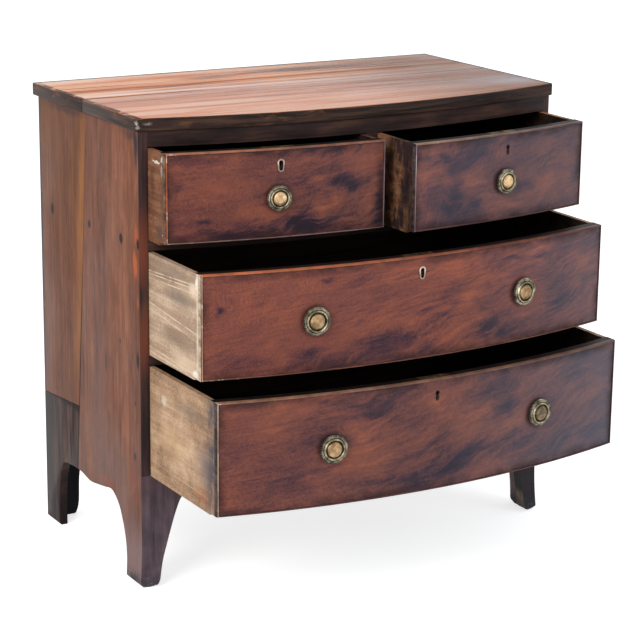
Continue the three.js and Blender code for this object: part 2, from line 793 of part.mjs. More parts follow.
// Dovetail tails, widest at their ends, across a drawer side's thickness. They are grown to make sockets.
function dovetails(x0, x1, endY, shoulderY, z0, z1, count, grow) {
  const pitch = (z1 - z0) / count;
  const wide = pitch * TAIL_WIDTH_SHARE;
  const narrow = wide - 2 * TAIL_SLOPE_SHARE * Math.abs(shoulderY - endY);
  const inward = Math.sign(shoulderY - endY);
  const beyondY = shoulderY + inward * DRAWER_SIDE_THICKNESS;
  const tails = [];
  for (let k = 0; k < count; k++) {
    const middle = z0 + (k + 0.5) * pitch;
    const outline = polygon([
      [endY - inward * grow, middle - wide / 2 - grow],
      [shoulderY, middle - narrow / 2 - grow],
      [beyondY, middle - narrow / 2 - grow],
      [beyondY, middle + narrow / 2 + grow],
      [shoulderY, middle + narrow / 2 + grow],
      [endY - inward * grow, middle + wide / 2 + grow],
    ]);
    tails.push(prismAlongX(outline, x0, x1));
  }
  return joined(...tails);
}

// A keyhole: a round hole over a slot that widens to its foot. Its zero is the round hole's middle.
function keyholeShape(Kind) {
  const foot = KEYHOLE_RADIUS - KEYHOLE_LENGTH;
  const half = KEYHOLE_SLOT_WIDTH / 2;
  const meet = Math.asin(half / KEYHOLE_RADIUS);
  const shape = new Kind();
  shape.moveTo(KEYHOLE_FOOT_WIDTH / 2, foot);
  shape.absarc(0, 0, KEYHOLE_RADIUS, meet - Math.PI / 2, (3 * Math.PI) / 2 - meet, false);
  shape.lineTo(-KEYHOLE_FOOT_WIDTH / 2, foot);
  shape.closePath();
  return shape;
}

// The outline of the brass round a keyhole: an even border to it, grown to make the recess for the brass.
function escutcheonShape(grow) {
  const hole = keyholeShape(THREE.Shape).getPoints(CURVE_FACETS);
  const section = new wasm.CrossSection([hole.map((point) => [point.x, point.y])], "NonZero");
  const bordered = section.offset(ESCUTCHEON_BORDER + grow, "Round", 2, ESCUTCHEON_FACETS);
  return polygon(bordered.toPolygons()[0]);
}

// The depths behind the front's face at which a lock's bolt runs.
const boltFrontY = FRONT_THICKNESS - LOCK_THICKNESS + LOCK_WALL + BOLT_GAP;
const boltRearY = boltFrontY + BOLT_THICKNESS;

// The recess for a lock, when it is grown, or the lock's outside.
function lockBody(place, grow) {
  const half = LOCK_WIDTH / 2 + grow;
  const caseY = FRONT_THICKNESS - LOCK_THICKNESS - grow;
  const selvedgeY = BEAD_DEPTH + SELVEDGE_SETBACK - grow;
  const rearY = FRONT_THICKNESS + (grow ? OVERRUN : 0);
  const topZ = grow ? OVERRUN : 0;
  return joined(
    block(-half, half, caseY, rearY, -LOCK_HEIGHT - grow, topZ, place),
    block(-half, half, selvedgeY, rearY, -SELVEDGE_THICKNESS - grow, topZ, place),
  );
}

function addLock(group, name, place) {
  const channelHalf = BOLT_WIDTH / 2 + BOLT_GAP;
  const channel = block(
    -channelHalf,
    channelHalf,
    boltFrontY - BOLT_GAP,
    boltRearY + BOLT_GAP,
    LOCK_WALL - LOCK_HEIGHT,
    OVERRUN,
    place,
  );
  const keyway = placedKeyhole(place, 0, boltFrontY);
  const pinLength = LOCK_THICKNESS - 2 * BOLT_GAP;
  const pin = new THREE.CylinderGeometry(LOCK_PIN_RADIUS, LOCK_PIN_RADIUS, pinLength, LOCK_PIN_FACETS);
  pin.translate(0, FRONT_THICKNESS - LOCK_THICKNESS / 2, -KEYHOLE_DROP);
  pin.applyMatrix4(place);
  const lockCase = joined(cut(lockBody(place, 0), channel, keyway), solid(pin));
  addPiece(group, name + "_lock_case", lockCase, brass);
  const bottomZ = -BOLT_SINK - BOLT_HEIGHT;
  const bolt = block(-BOLT_WIDTH / 2, BOLT_WIDTH / 2, boltFrontY, boltRearY, bottomZ, -BOLT_SINK, place);
  const talon = block(
    -TALON_WIDTH / 2,
    TALON_WIDTH / 2,
    boltFrontY - OVERRUN,
    boltRearY + OVERRUN,
    bottomZ - OVERRUN,
    bottomZ + TALON_HEIGHT,
    place,
  );
  addPiece(group, name + "_lock_bolt", cut(bolt, talon), iron);
}

// A keyhole's prism through the wood below a lock's top.
function placedKeyhole(place, y0, y1) {
  const geometry = new THREE.Matrix4().makeTranslation(0, 0, -KEYHOLE_DROP);
  return prismAlongY(keyholeShape(THREE.Shape), y0, y1, place.clone().multiply(geometry));
}

// A turned brass knob with its spindle, on the front's surface at a place.
function addKnob(group, name, x, z, radius) {
  const points = [
    new THREE.Vector2(0, -FRONT_THICKNESS - SPINDLE_TAIL),
    new THREE.Vector2(SPINDLE_RADIUS, -FRONT_THICKNESS - SPINDLE_TAIL),
    new THREE.Vector2(SPINDLE_RADIUS, 0),
    ...KNOB_PROFILE_SHARES.map(([out, up]) => new THREE.Vector2(out * radius, up * KNOB_PROJECTION)),
  ];
  const geometry = new THREE.LatheGeometry(points, KNOB_FACETS);
  geometry.rotateX(Math.PI);
  geometry.translate(0, -SEAT_GAP, 0);
  const knob = addPiece(group, name, solid(geometry), brass);
  knob.position.set(x, bowY(x), z);
  knob.rotation.z = bowAngle(x);
}

// The hole through a front for a knob's spindle.
function spindleHole(x, z) {
  const radius = SPINDLE_RADIUS + GLUE_GAP;
  const hole = new THREE.CylinderGeometry(radius, radius, 2 * FRONT_THICKNESS, SPINDLE_FACETS);
  hole.translate(0, FRONT_THICKNESS / 2, 0);
  hole.applyMatrix4(onBow(x, z));
  return solid(hole);
}

// One drawer in its closed place, then drawn open.
function addDrawer(chest, spec) {
  const group = new THREE.Group();
  group.position.y = -spec.open;
  chest.add(group);
  const { name, x0, x1, floor } = spec;
  const frontBottomZ = floor + spec.bottomGap;
  const frontTopZ = floor + spec.opening - FRONT_TOP_GAP;
  const sideBottomZ = floor + RUN_GAP;
  const sideTopZ = frontTopZ - SIDE_TOP_DROP;
  const panelBottomZ = sideBottomZ + DRAWER_BOTTOM_RAISE;
  const panelTopZ = panelBottomZ + DRAWER_BOTTOM_THICKNESS;
  const backTopZ = frontTopZ - BACK_TOP_DROP;
  const tailsZ = [panelTopZ + GLUE_GAP, sideTopZ];
  const lockPlace = onBow(spec.lockX, frontTopZ);
  const knobZ = (frontBottomZ + frontTopZ) / 2 - spec.knobDrop;

  const rim = BEAD_WIDTH + GLUE_GAP;
  const rebateFloor = BEAD_DEPTH + GLUE_GAP;
  const core = bowBoard(x0 + rim, x1 - rim, frontBottomZ + rim, frontTopZ - rim, 0, behindBow(FRONT_LAP));
  const backing = bowBoard(x0, x1, frontBottomZ, frontTopZ, rebateFloor, behindBow(FRONT_THICKNESS));
  const grooveX0 = x0 + DRAWER_SIDE_THICKNESS - GROOVE_DEPTH;
  const grooveX1 = x1 - DRAWER_SIDE_THICKNESS + GROOVE_DEPTH;
  const frontGroove = bowBoard(
    grooveX0,
    grooveX1,
    panelBottomZ - GLUE_GAP,
    panelTopZ + GLUE_GAP,
    FRONT_THICKNESS - GROOVE_DEPTH,
    behindBow(FRONT_THICKNESS + OVERRUN),
  );
  const frontCuts = [frontGroove, lockBody(lockPlace, GLUE_GAP)];
  frontCuts.push(placedKeyhole(lockPlace, -OVERRUN, FRONT_THICKNESS - LOCK_THICKNESS));
  for (const x of spec.knobs) {
    frontCuts.push(spindleHole(x, knobZ));
  }

  const sideEnds = [
    { word: "left", outer: x0, inner: x0 + DRAWER_SIDE_THICKNESS },
    { word: "right", outer: x1, inner: x1 - DRAWER_SIDE_THICKNESS },
  ];
  const backCuts = [];
  for (const end of sideEnds) {
    const low = Math.min(end.outer, end.inner);
    const high = Math.max(end.outer, end.inner);
    const nearX = Math.max(Math.abs(end.outer), Math.abs(end.inner));
    const tailEndY = bowY(nearX) + FRONT_LAP;
    const shoulderY = bowY(nearX) + FRONT_THICKNESS;
    const rearShoulderY = drawerRearY - DRAWER_BACK_THICKNESS;
    const frontTails = (x, y, grow) => dovetails(x, y, tailEndY, shoulderY, ...tailsZ, spec.tails, grow);
    const rearTails = (x, y, grow) =>
      dovetails(x, y, drawerRearY, rearShoulderY, panelTopZ, backTopZ, spec.tails, grow);
    const gapX0 = low - (end.word === "left" ? OVERRUN : GLUE_GAP);
    const gapX1 = high + (end.word === "left" ? GLUE_GAP : OVERRUN);
    frontCuts.push(frontTails(gapX0, gapX1, GLUE_GAP));
    backCuts.push(rearTails(gapX0, gapX1, GLUE_GAP));
    const frontZone = bowBoard(
      low - OVERRUN,
      high + OVERRUN,
      sideBottomZ - OVERRUN,
      sideTopZ + OVERRUN,
      0,
      behindBow(FRONT_THICKNESS + GLUE_GAP),
    );
    const backZone = block(
      low - OVERRUN,
      high + OVERRUN,
      rearShoulderY - GLUE_GAP,
      drawerRearY + OVERRUN,
      panelTopZ - GLUE_GAP,
      backTopZ + GLUE_GAP,
    );
    const sideGroove = block(
      end.word === "left" ? grooveX0 : end.inner - OVERRUN,
      end.word === "left" ? end.inner + OVERRUN : grooveX1,
      tailEndY - OVERRUN,
      drawerRearY + OVERRUN,
      panelBottomZ - GLUE_GAP,
      panelTopZ + GLUE_GAP,
    );
    const side = cut(
      block(low, high, tailEndY, drawerRearY, sideBottomZ, sideTopZ),
      cut(frontZone, frontTails(low - 2 * OVERRUN, high + 2 * OVERRUN, 0)),
      cut(backZone, rearTails(low - 2 * OVERRUN, high + 2 * OVERRUN, 0)),
      sideGroove,
    );
    addPiece(group, name + "_" + end.word + "_side", side, woods.lining);
  }

  const back = block(x0, x1, drawerRearY - DRAWER_BACK_THICKNESS, drawerRearY, panelTopZ, backTopZ);
  addPiece(group, name + "_back", cut(back, ...backCuts), woods.lining);
  const panel = bowBoard(
    grooveX0 + GLUE_GAP,
    grooveX1 - GLUE_GAP,
    panelBottomZ,
    panelTopZ,
    FRONT_THICKNESS - GROOVE_DEPTH + GLUE_GAP,
    drawerRearY,
  );
  addPiece(group, name + "_bottom", panel, woods.lining);
  addPiece(group, name + "_cockbead", beadFrame(x0, x1, frontBottomZ, frontTopZ), woods.bead);

  if (spec.escutcheon) {
    const place = lockPlace.clone().multiply(new THREE.Matrix4().makeTranslation(0, 0, -KEYHOLE_DROP));
    const ring = escutcheonShape(0);
    ring.holes.push(keyholeShape(THREE.Path));
    const depth = ESCUTCHEON_THICKNESS - ESCUTCHEON_PROUD;
    const escutcheon = prismAlongY(ring, -ESCUTCHEON_PROUD, depth, place);
    addPiece(group, name + "_escutcheon", escutcheon, brass);
    frontCuts.push(prismAlongY(escutcheonShape(GLUE_GAP), -OVERRUN, depth + GLUE_GAP, place));
  }
  addPiece(group, name + "_front", cut(joined(core, backing), ...frontCuts), woods.front);
  addLock(group, name, lockPlace);
  spec.knobs.forEach((x, k) => {
    const word = spec.knobs.length > 1 ? ["_left", "_right"][k] : "";
    addKnob(group, name + word + "_knob", x, knobZ, spec.knobRadius);
  });
}

const outerX = innerHalf - SLIDE_GAP;
const muntinX = MUNTIN_THICKNESS / 2 + SLIDE_GAP;
const shortMiddle = (outerX + muntinX) / 2;
const shortDrawer = {
  floor: shortFloor,
  opening: SHORT_OPENING_HEIGHT,
  knobRadius: SHORT_KNOB_RADIUS,
  knobDrop: SHORT_KNOB_DROP,
  bottomGap: SHORT_FRONT_BOTTOM_GAP,
  tails: SHORT_TAIL_COUNT,
};
const longDrawer = {
  x0: -outerX,
  x1: outerX,
  knobRadius: LONG_KNOB_RADIUS,
  bottomGap: FRONT_BOTTOM_GAP,
  lockX: LONG_LOCK_X,
  tails: LONG_TAIL_COUNT,
};
const shortLeft = {
  ...shortDrawer,
  name: "short_left",
  x0: -outerX,
  x1: -muntinX,
  knobs: [SHORT_LEFT_KNOB_SHIFT - shortMiddle],
  lockX: -shortMiddle,
  escutcheon: true,
  open: SHORT_LEFT_OPEN,
};
const shortRight = {
  ...shortDrawer,
  name: "short_right",
  x0: muntinX,
  x1: outerX,
  knobs: [shortMiddle],
  lockX: shortMiddle + SHORT_RIGHT_LOCK_SHIFT,
  escutcheon: false,
  open: SHORT_RIGHT_OPEN,
};
const upperLong = {
  ...longDrawer,
  name: "upper_long",
  floor: upperFloor,
  opening: UPPER_OPENING_HEIGHT,
  knobs: [UPPER_LONG_KNOB_SHIFT - KNOB_SPACING / 2, UPPER_LONG_KNOB_SHIFT + KNOB_SPACING / 2],
  knobDrop: UPPER_LONG_KNOB_DROP,
  escutcheon: true,
  open: UPPER_LONG_OPEN,
};
const lowerLong = {
  ...longDrawer,
  name: "lower_long",
  floor: lowerFloor,
  opening: LOWER_OPENING_HEIGHT,
  knobs: [-KNOB_SPACING / 2, KNOB_SPACING / 2],
  knobDrop: LOWER_LONG_KNOB_DROP,
  escutcheon: false,
  open: LOWER_LONG_OPEN,
};

// The carcass and the drawers, then the whole is centred on the middle of its box at the floor.
const chest = new THREE.Group();
addTop(chest);
addLeftSide(chest);
addPiece(chest, "right_side", sideBody(1), woods.side);
addBackboard(chest);
addTopFrame(chest, [shortLeft, shortRight]);
addMuntin(chest);
addBlade(chest, "upper", shortFloor, [upperLong], [shortLeft, shortRight], [muntinTenons(GLUE_GAP)]);
addBlade(chest, "lower", upperFloor, [lowerLong], [upperLong], []);
addBottomBoard(chest, lowerLong);
addApron(chest);
addFootBraces(chest, -1, "left");
addFootBraces(chest, 1, "right");
for (const spec of [shortLeft, shortRight, upperLong, lowerLong]) {
  addDrawer(chest, spec);
}
const box = new THREE.Box3().setFromObject(chest, true);
chest.position.y = -(box.min.y + box.max.y) / 2;

const part = new THREE.Group();
part.add(chest);
export default part;
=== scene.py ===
"""An old mahogany chest of drawers with a bowed front, its four drawers drawn out by different amounts.

Lengths are in metres. X runs to the right along the front, Y to the back and Z up from the floor.
"""

import math

import bpy
from mathutils import Matrix, Vector


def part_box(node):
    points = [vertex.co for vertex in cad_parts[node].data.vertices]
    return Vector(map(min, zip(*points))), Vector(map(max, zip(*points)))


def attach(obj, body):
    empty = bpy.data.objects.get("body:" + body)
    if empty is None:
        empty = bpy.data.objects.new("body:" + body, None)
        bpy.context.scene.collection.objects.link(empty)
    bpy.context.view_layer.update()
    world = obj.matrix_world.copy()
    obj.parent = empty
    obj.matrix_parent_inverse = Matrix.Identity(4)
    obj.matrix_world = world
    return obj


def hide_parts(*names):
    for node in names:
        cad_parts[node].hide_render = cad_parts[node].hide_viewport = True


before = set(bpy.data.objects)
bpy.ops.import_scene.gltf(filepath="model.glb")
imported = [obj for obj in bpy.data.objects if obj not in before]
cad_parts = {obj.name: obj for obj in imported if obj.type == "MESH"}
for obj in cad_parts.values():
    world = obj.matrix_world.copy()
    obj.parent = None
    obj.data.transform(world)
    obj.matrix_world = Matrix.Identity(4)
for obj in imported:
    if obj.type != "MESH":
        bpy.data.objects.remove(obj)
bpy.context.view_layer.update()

# Carcass
CASE_HALF_WIDTH = 0.43
CASE_DEPTH = 0.422
BACK_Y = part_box("backboard")[1].y
FRONT_CORNER_Y = BACK_Y - CASE_DEPTH
BOW_RADIUS = 1.5964
BOW_CENTRE_Y = math.sqrt(BOW_RADIUS**2 - CASE_HALF_WIDTH**2)

# Back: where its boards meet, and the nails along its top and bottom and up its sides
BACK_JOINTS_X = (-0.242, -0.046, 0.161)
NAILS_X = (-0.4, -0.29, -0.19, -0.09, 0.0, 0.11, 0.21, 0.3, 0.4)
NAILS_Z = (0.32, 0.43, 0.54, 0.65, 0.76)
NAIL_RADIUS = 0.0026
NAIL_THICKNESS = 0.0008

# Top
TOP_HALF_WIDTH = 0.435
TOP_OVERHANG = 0.004
TOP_SURFACE_Z = 0.85
TOP_UNDERSIDE_Z = 0.827
TOP_JOINT_Y = 0.215

# The leaning joint of the sides' boards: its Y at the floor, and how far it runs on with each metre up
SIDE_JOINT_Y = 0.286
SIDE_JOINT_LEAN = -0.0943

# Feet: how high they are worn round, and where the blocks inside the front ones are cut back
WORN_HEIGHT = 0.02
BLOCK_CUT_X = 0.3918

# Drawers: how far each stands out, how thick a front is, and how far its bead reaches in
DRAWERS_OUT = {"short_left": 0.065, "short_right": 0.123, "upper_long": 0.192, "lower_long": 0.248}
FRONT_THICKNESS = 0.024
BEAD_HEIGHT = 0.0034
BEAD_WIDTH = 0.0032

KNOB_X = {
    "short_left_knob": -0.21775,
    "short_right_knob": 0.21275,
    "upper_long_left_knob": -0.216,
    "upper_long_right_knob": 0.21,
    "lower_long_left_knob": -0.213,
    "lower_long_right_knob": 0.213,
}

# Keyholes: each one's X, its drop below the front's top, and how wide a brass border two of them have
KEYHOLE_X = {"short_left": -0.21275, "short_right": 0.21925, "upper_long": -0.012, "lower_long": -0.012}
KEYHOLE_DROP = 0.025
PLATED = {"short_left": 0.0024, "upper_long": 0.0026}
PLATE_HEAD_RADIUS = 0.0066
PLATE_FOOT_SHARE = 0.86
PLATE_FOOT_DROP = 0.0106
PLATE_THICKNESS = 0.0008

# Lock screws: how far beside the keyhole, and how far below the front's top
LOCK_SCREWS_X = (-0.024, 0.024)
LOCK_SCREWS_UP = (-0.006, -0.034)

# Knobs, and how far the washer and the nut behind each one reach in
SHORT_KNOB_RADIUS = 0.023
LONG_KNOB_RADIUS = 0.0255
KNOB_PROJECTION = 0.0145
SPINDLE_RADIUS = 0.003
SPINDLE_TAIL = 0.009
WASHER_RADIUS = 0.0085
WASHER_REACH = 0.0013
NUT_RADIUS = 0.0076
NUT_REACH = 0.0058
RIM_STRANDS = 50

# The view that the chest was seen in: lens in millimetres, place, and angles in radians
VIEW_LENS = 120.856
VIEW_SPOT = (-1.9912, FRONT_CORNER_Y - 3.2455, 1.47363)
VIEW_HEADING = -0.535158
VIEW_FALL = 0.26474
VIEW_ROLL = 0.0119015


def shade(red, green, blue):
    """A colour from a paint chart's 0 to 255, as light."""
    parts = [value / 255 for value in (red, green, blue)]
    return tuple(part / 12.92 if part <= 0.04045 else ((part + 0.055) / 1.055) ** 2.4 for part in parts)


def place_camera():
    """Stands the camera where the chest was seen from, to the left of its front and above its top."""
    data = bpy.data.cameras.new("view_from_front_left")
    data.sensor_width = 36
    data.lens = VIEW_LENS
    camera = bpy.data.objects.new("view_from_front_left", data)
    bpy.context.collection.objects.link(camera)
    heading = Matrix.Rotation(VIEW_HEADING, 4, "Z")
    tilt = Matrix.Rotation(math.pi / 2 - VIEW_FALL, 4, "X")
    roll = Matrix.Rotation(VIEW_ROLL, 4, "Z")
    camera.matrix_world = Matrix.Translation(VIEW_SPOT) @ heading @ tilt @ roll
    bpy.context.scene.camera = camera


def hang_lamp(name, spot, aim, size, watts, colour):
    """Hangs a square soft box at a spot, turned towards an aim."""
    data = bpy.data.lights.new(name, "AREA")
    data.size = size
    data.energy = watts
    data.color = colour
    lamp = bpy.data.objects.new(name, data)
    bpy.context.collection.objects.link(lamp)
    lamp.location = spot
    lamp.rotation_euler = (Vector(aim) - Vector(spot)).to_track_quat("-Z", "Y").to_euler()


def seen_plainly(nodes, links):
    """The light path node, and a switch that is on where the camera or a reflection looks."""
    path = nodes.new("ShaderNodeLightPath")
    seen = nodes.new("ShaderNodeMath")
    seen.operation = "MAXIMUM"
    links.new(path.outputs["Is Camera Ray"], seen.inputs[0])
    links.new(path.outputs["Is Glossy Ray"], seen.inputs[1])
    return path, seen


def light_studio():
    """An even pale room, with one large soft lamp at the front left and a cooler one at the right."""
    hang_lamp("left_soft_box", (-3.4, -1.6, 2.5), (-0.1, 0.0, 0.45), 2.2, 95, (1.0, 0.97, 0.93))
    hang_lamp("right_soft_box", (2.6, -3.2, 1.7), (0.1, -0.1, 0.4), 1.8, 26, (0.82, 0.9, 1.0))
    world = bpy.data.worlds.new("pale_room")
    bpy.context.scene.world = world
    world.use_nodes = True
    nodes = world.node_tree.nodes
    links = world.node_tree.links
    room = nodes["Background"]
    room.inputs["Color"].default_value = (0.93, 0.97, 1.0, 1)
    room.inputs["Strength"].default_value = 0.62
    white = nodes.new("ShaderNodeBackground")
    white.inputs["Color"].default_value = (1, 1, 1, 1)
    path, seen = seen_plainly(nodes, links)
    shown = nodes.new("ShaderNodeMath")
    shown.operation = "MAXIMUM"
    links.new(seen.outputs[0], shown.inputs[0])
    links.new(path.outputs["Is Transmission Ray"], shown.inputs[1])
    mix = nodes.new("ShaderNodeMixShader")
    links.new(shown.outputs[0], mix.inputs[0])
    links.new(room.outputs[0], mix.inputs[1])
    links.new(white.outputs[0], mix.inputs[2])
    links.new(mix.outputs[0], nodes["World Output"].inputs["Surface"])


def lay_floor():
    """A wide white floor that shows as white and keeps the chest's shadow."""
    bpy.ops.mesh.primitive_plane_add(size=60, location=(0, 0, 0))
    floor = bpy.context.active_object
    floor.name = "white_floor"
    material = bpy.data.materials.new("white_floor")
    material.use_nodes = True
    nodes = material.node_tree.nodes
    links = material.node_tree.links
    shader = nodes["Principled BSDF"]
    shader.inputs["Base Color"].default_value = (0.85, 0.85, 0.85, 1)
    shader.inputs["Roughness"].default_value = 0.9
    shader.inputs["Specular IOR Level"].default_value = 0.0
    shader.inputs["Emission Color"].default_value = (1, 1, 1, 1)
    _, seen = seen_plainly(nodes, links)
    lift = nodes.new("ShaderNodeMath")
    lift.operation = "MULTIPLY"
    lift.inputs[1].default_value = 0.72
    links.new(seen.outputs[0], lift.inputs[0])
    links.new(lift.outputs[0], shader.inputs["Emission Strength"])
    floor.data.materials.append(material)


class Finish:
    """A finish mixed from shader nodes, its Y measured from the front corners of the case or of a drawer."""

    def __init__(self, name, roughness=0.5, metallic=0.0, gloss=0.25, ahead=0.0):
        self.material = bpy.data.materials.new(name)
        self.material.use_nodes = True
        self.nodes = self.material.node_tree.nodes
        self.links = self.material.node_tree.links
        self.shader = self.nodes["Principled BSDF"]
        self.shader.inputs["Roughness"].default_value = roughness
        self.shader.inputs["Metallic"].default_value = metallic
        self.shader.inputs["Specular IOR Level"].default_value = gloss
        coordinates = self.nodes.new("ShaderNodeTexCoord").outputs["Object"]
        self.place = self.turned(coordinates, move=(0, ahead - FRONT_CORNER_Y, 0))
        self.colour = None

    def wire(self, value, socket):
        """Links a node's result to a socket, or sets the socket to a plain value."""
        if isinstance(value, bpy.types.NodeSocket):
            self.links.new(value, socket)
        elif socket.type == "RGBA":
            socket.default_value = (*value, 1)
        else:
            socket.default_value = value

    def sum(self, operation, first, second=0.0, third=0.0):
        """One step of arithmetic."""
        node = self.nodes.new("ShaderNodeMath")
        node.operation = operation
        for socket, value in zip(node.inputs, (first, second, third)):
            self.wire(value, socket)
        return node.outputs[0]

    def times(self, first, second):
        """The product of two values."""
        return self.sum("MULTIPLY", first, second)

    def times_plus(self, first, second, third):
        """The product of two values, and a third added."""
        return self.sum("MULTIPLY_ADD", first, second, third)

    def plus(self, first, second):
        """Two values added."""
        return self.sum("ADD", first, second)

    def minus(self, first, second):
        """One value less another."""
        return self.sum("SUBTRACT", first, second)

    def most(self, first, second):
        """The larger of two values."""
        return self.sum("MAXIMUM", first, second)

    def least(self, first, second):
        """The smaller of two values."""
        return self.sum("MINIMUM", first, second)

    def stronger(self, value, middle, strength):
        """A value drawn away from a middle, for more contrast."""
        return self.times_plus(self.minus(value, middle), strength, middle)

    def shift(self, operation, first, second):
        """One step of arithmetic on places."""
        node = self.nodes.new("ShaderNodeVectorMath")
        node.operation = operation
        self.wire(first, node.inputs[0])
        self.wire(second, node.inputs[1])
        return node.outputs["Value"] if operation in ("LENGTH", "DISTANCE") else node.outputs[0]

    def turned(self, source, turn=(0, 0, 0), stretch=(1, 1, 1), move=(0, 0, 0)):
        """The same places, stretched, turned and moved."""
        node = self.nodes.new("ShaderNodeMapping")
        self.wire(source, node.inputs["Vector"])
        node.inputs["Scale"].default_value = stretch
        node.inputs["Rotation"].default_value = [math.radians(angle) for angle in turn]
        node.inputs["Location"].default_value = move
        return node.outputs[0]

    def noise(self, source, stretch, detail=5.0, rough_share=0.55, twist=0.0, move=(0, 0, 0)):
        """Uneven streaks or clouds: so many to the metre along each axis."""
        node = self.nodes.new("ShaderNodeTexNoise")
        self.wire(self.turned(source, stretch=stretch, move=move), node.inputs["Vector"])
        node.inputs["Scale"].default_value = 1.0
        node.inputs["Detail"].default_value = detail
        node.inputs["Roughness"].default_value = rough_share
        node.inputs["Distortion"].default_value = twist
        return node.outputs["Fac"]

    def centred(self, *pattern, **more):
        """The same unevenness, about zero."""
        return self.minus(self.noise(*pattern, **more), 0.5)

    def wander(self, source, stretch, reach, detail=2.0, move=(0, 0, 0)):
        """Places pushed about, so that a pattern on them waves."""
        node = self.nodes.new("ShaderNodeTexNoise")
        self.wire(self.turned(source, stretch=stretch, move=move), node.inputs["Vector"])
        node.inputs["Scale"].default_value = 1.0
        node.inputs["Detail"].default_value = detail
        centred = self.shift("SUBTRACT", node.outputs["Color"], (0.5, 0.5, 0.5))
        return self.shift("ADD", source, self.shift("MULTIPLY", centred, reach))

    def steps(self, value, *stops):
        """Colours or greys along a value, each at its place from 0 to 1."""
        node = self.nodes.new("ShaderNodeValToRGB")
        self.wire(value, node.inputs[0])
        ramp = node.color_ramp
        while len(ramp.elements) < len(stops):
            ramp.elements.new(0.5)
        for element, (place, tone) in zip(ramp.elements, stops):
            element.position = place
            element.color = (*tone, 1) if isinstance(tone, tuple) else (tone, tone, tone, 1)
        return node.outputs["Color"]

    def tones(self, value, *stops):
        """Paint-chart colours along a value: each a place from 0 to 1, then its red, green and blue."""
        return self.steps(value, *((place, shade(*tone)) for place, *tone in stops))

    def over(self, amount, under, upper, kind="MIX"):
        """Lays one colour over another by an amount."""
        node = self.nodes.new("ShaderNodeMix")
        node.data_type = "RGBA"
        node.blend_type = kind
        self.wire(amount, node.inputs[0])
        self.wire(under, node.inputs[6])
        self.wire(upper, node.inputs[7])
        return node.outputs[2]

    def span(self, value, low, high, bottom=0.0, top=1.0):
        """Carries a value smoothly from one range to another."""
        node = self.nodes.new("ShaderNodeMapRange")
        node.interpolation_type = "SMOOTHSTEP"
        for socket, number in zip(node.inputs, (value, low, high, bottom, top)):
            self.wire(number, socket)
        return node.outputs[0]

    def axis(self, source, letter):
        """One coordinate of a place."""
        node = self.nodes.new("ShaderNodeSeparateXYZ")
        self.wire(source, node.inputs[0])
        return node.outputs[letter]

    def patch(self, source, middle, size, soft_share=0.5, strength=1.0):
        """A soft-edged spot round a middle; an axis with no size is left out."""
        offset = self.shift("SUBTRACT", source, middle)
        inverse = tuple(1 / part if part else 0.0 for part in size)
        distance = self.shift("LENGTH", self.shift("MULTIPLY", offset, inverse), (0, 0, 0))
        return self.span(distance, 1.0, 1.0 - soft_share, 0.0, strength)

    def lay(self, amount, *tone):
        """Lays a paint-chart colour over the finish so far, by an amount."""
        self.colour = self.over(amount, self.colour, shade(*tone))

    def spots(self, source, upper, *places):
        """Lays a colour in several spots, each a middle, a size, a softness and a strength."""
        for place in places:
            self.colour = self.over(self.patch(source, *place), self.colour, upper)

    def side_spots(self, source, upper, *places):
        """Lays a colour in spots on a side: each a Y, a Z, two half sizes, a softness and a strength."""
        for y, z, half_deep, half_high, softness, strength in places:
            self.spots(source, upper, ((0, y, z), (0, half_deep, half_high), softness, strength))

    def pooled(self, source, places, upright=True):
        """Several spots' strengths added up, each an X, a Z or Y, two half sizes and a strength."""
        total = 0.0
        for x, other, half_wide, half_other, strength in places:
            middle = (x, 0, other) if upright else (x, other, 0)
            size = (half_wide, 0, half_other) if upright else (half_wide, half_other, 0)
            total = self.plus(total, self.patch(source, middle, size, 1.0, strength))
        return total

    def floor_wear(self, height):
        """Darkens the foot near the floor, and flecks it where it has been knocked."""
        low = self.span(height, 0.034, 0.006)
        damp = self.noise(self.place, (30, 30, 60), 5, 0.64, move=(5, 5, 3))
        self.lay(self.times(low, self.span(damp, 0.38, 0.56, 0.3)), 50, 50, 58)
        flecks = self.noise(self.place, (150, 150, 190), 4, 0.7, move=(2, 7, 5))
        self.lay(self.times(low, self.span(flecks, 0.58, 0.66, 0.0, 0.75)), 132, 134, 132)

    def relief(self, height, depth):
        """Raises and sinks the surface by a height."""
        node = self.nodes.new("ShaderNodeBump")
        node.inputs["Strength"].default_value = 1.0
        node.inputs["Distance"].default_value = depth
        self.wire(height, node.inputs["Height"])
        self.wire(node.outputs[0], self.shader.inputs["Normal"])

    def done(self, roughness=None):
        """Sets the colour and roughness on the shader and gives the material back."""
        self.wire(self.colour, self.shader.inputs["Base Color"])
        if roughness is not None:
            self.wire(roughness, self.shader.inputs["Roughness"])
        return self.material


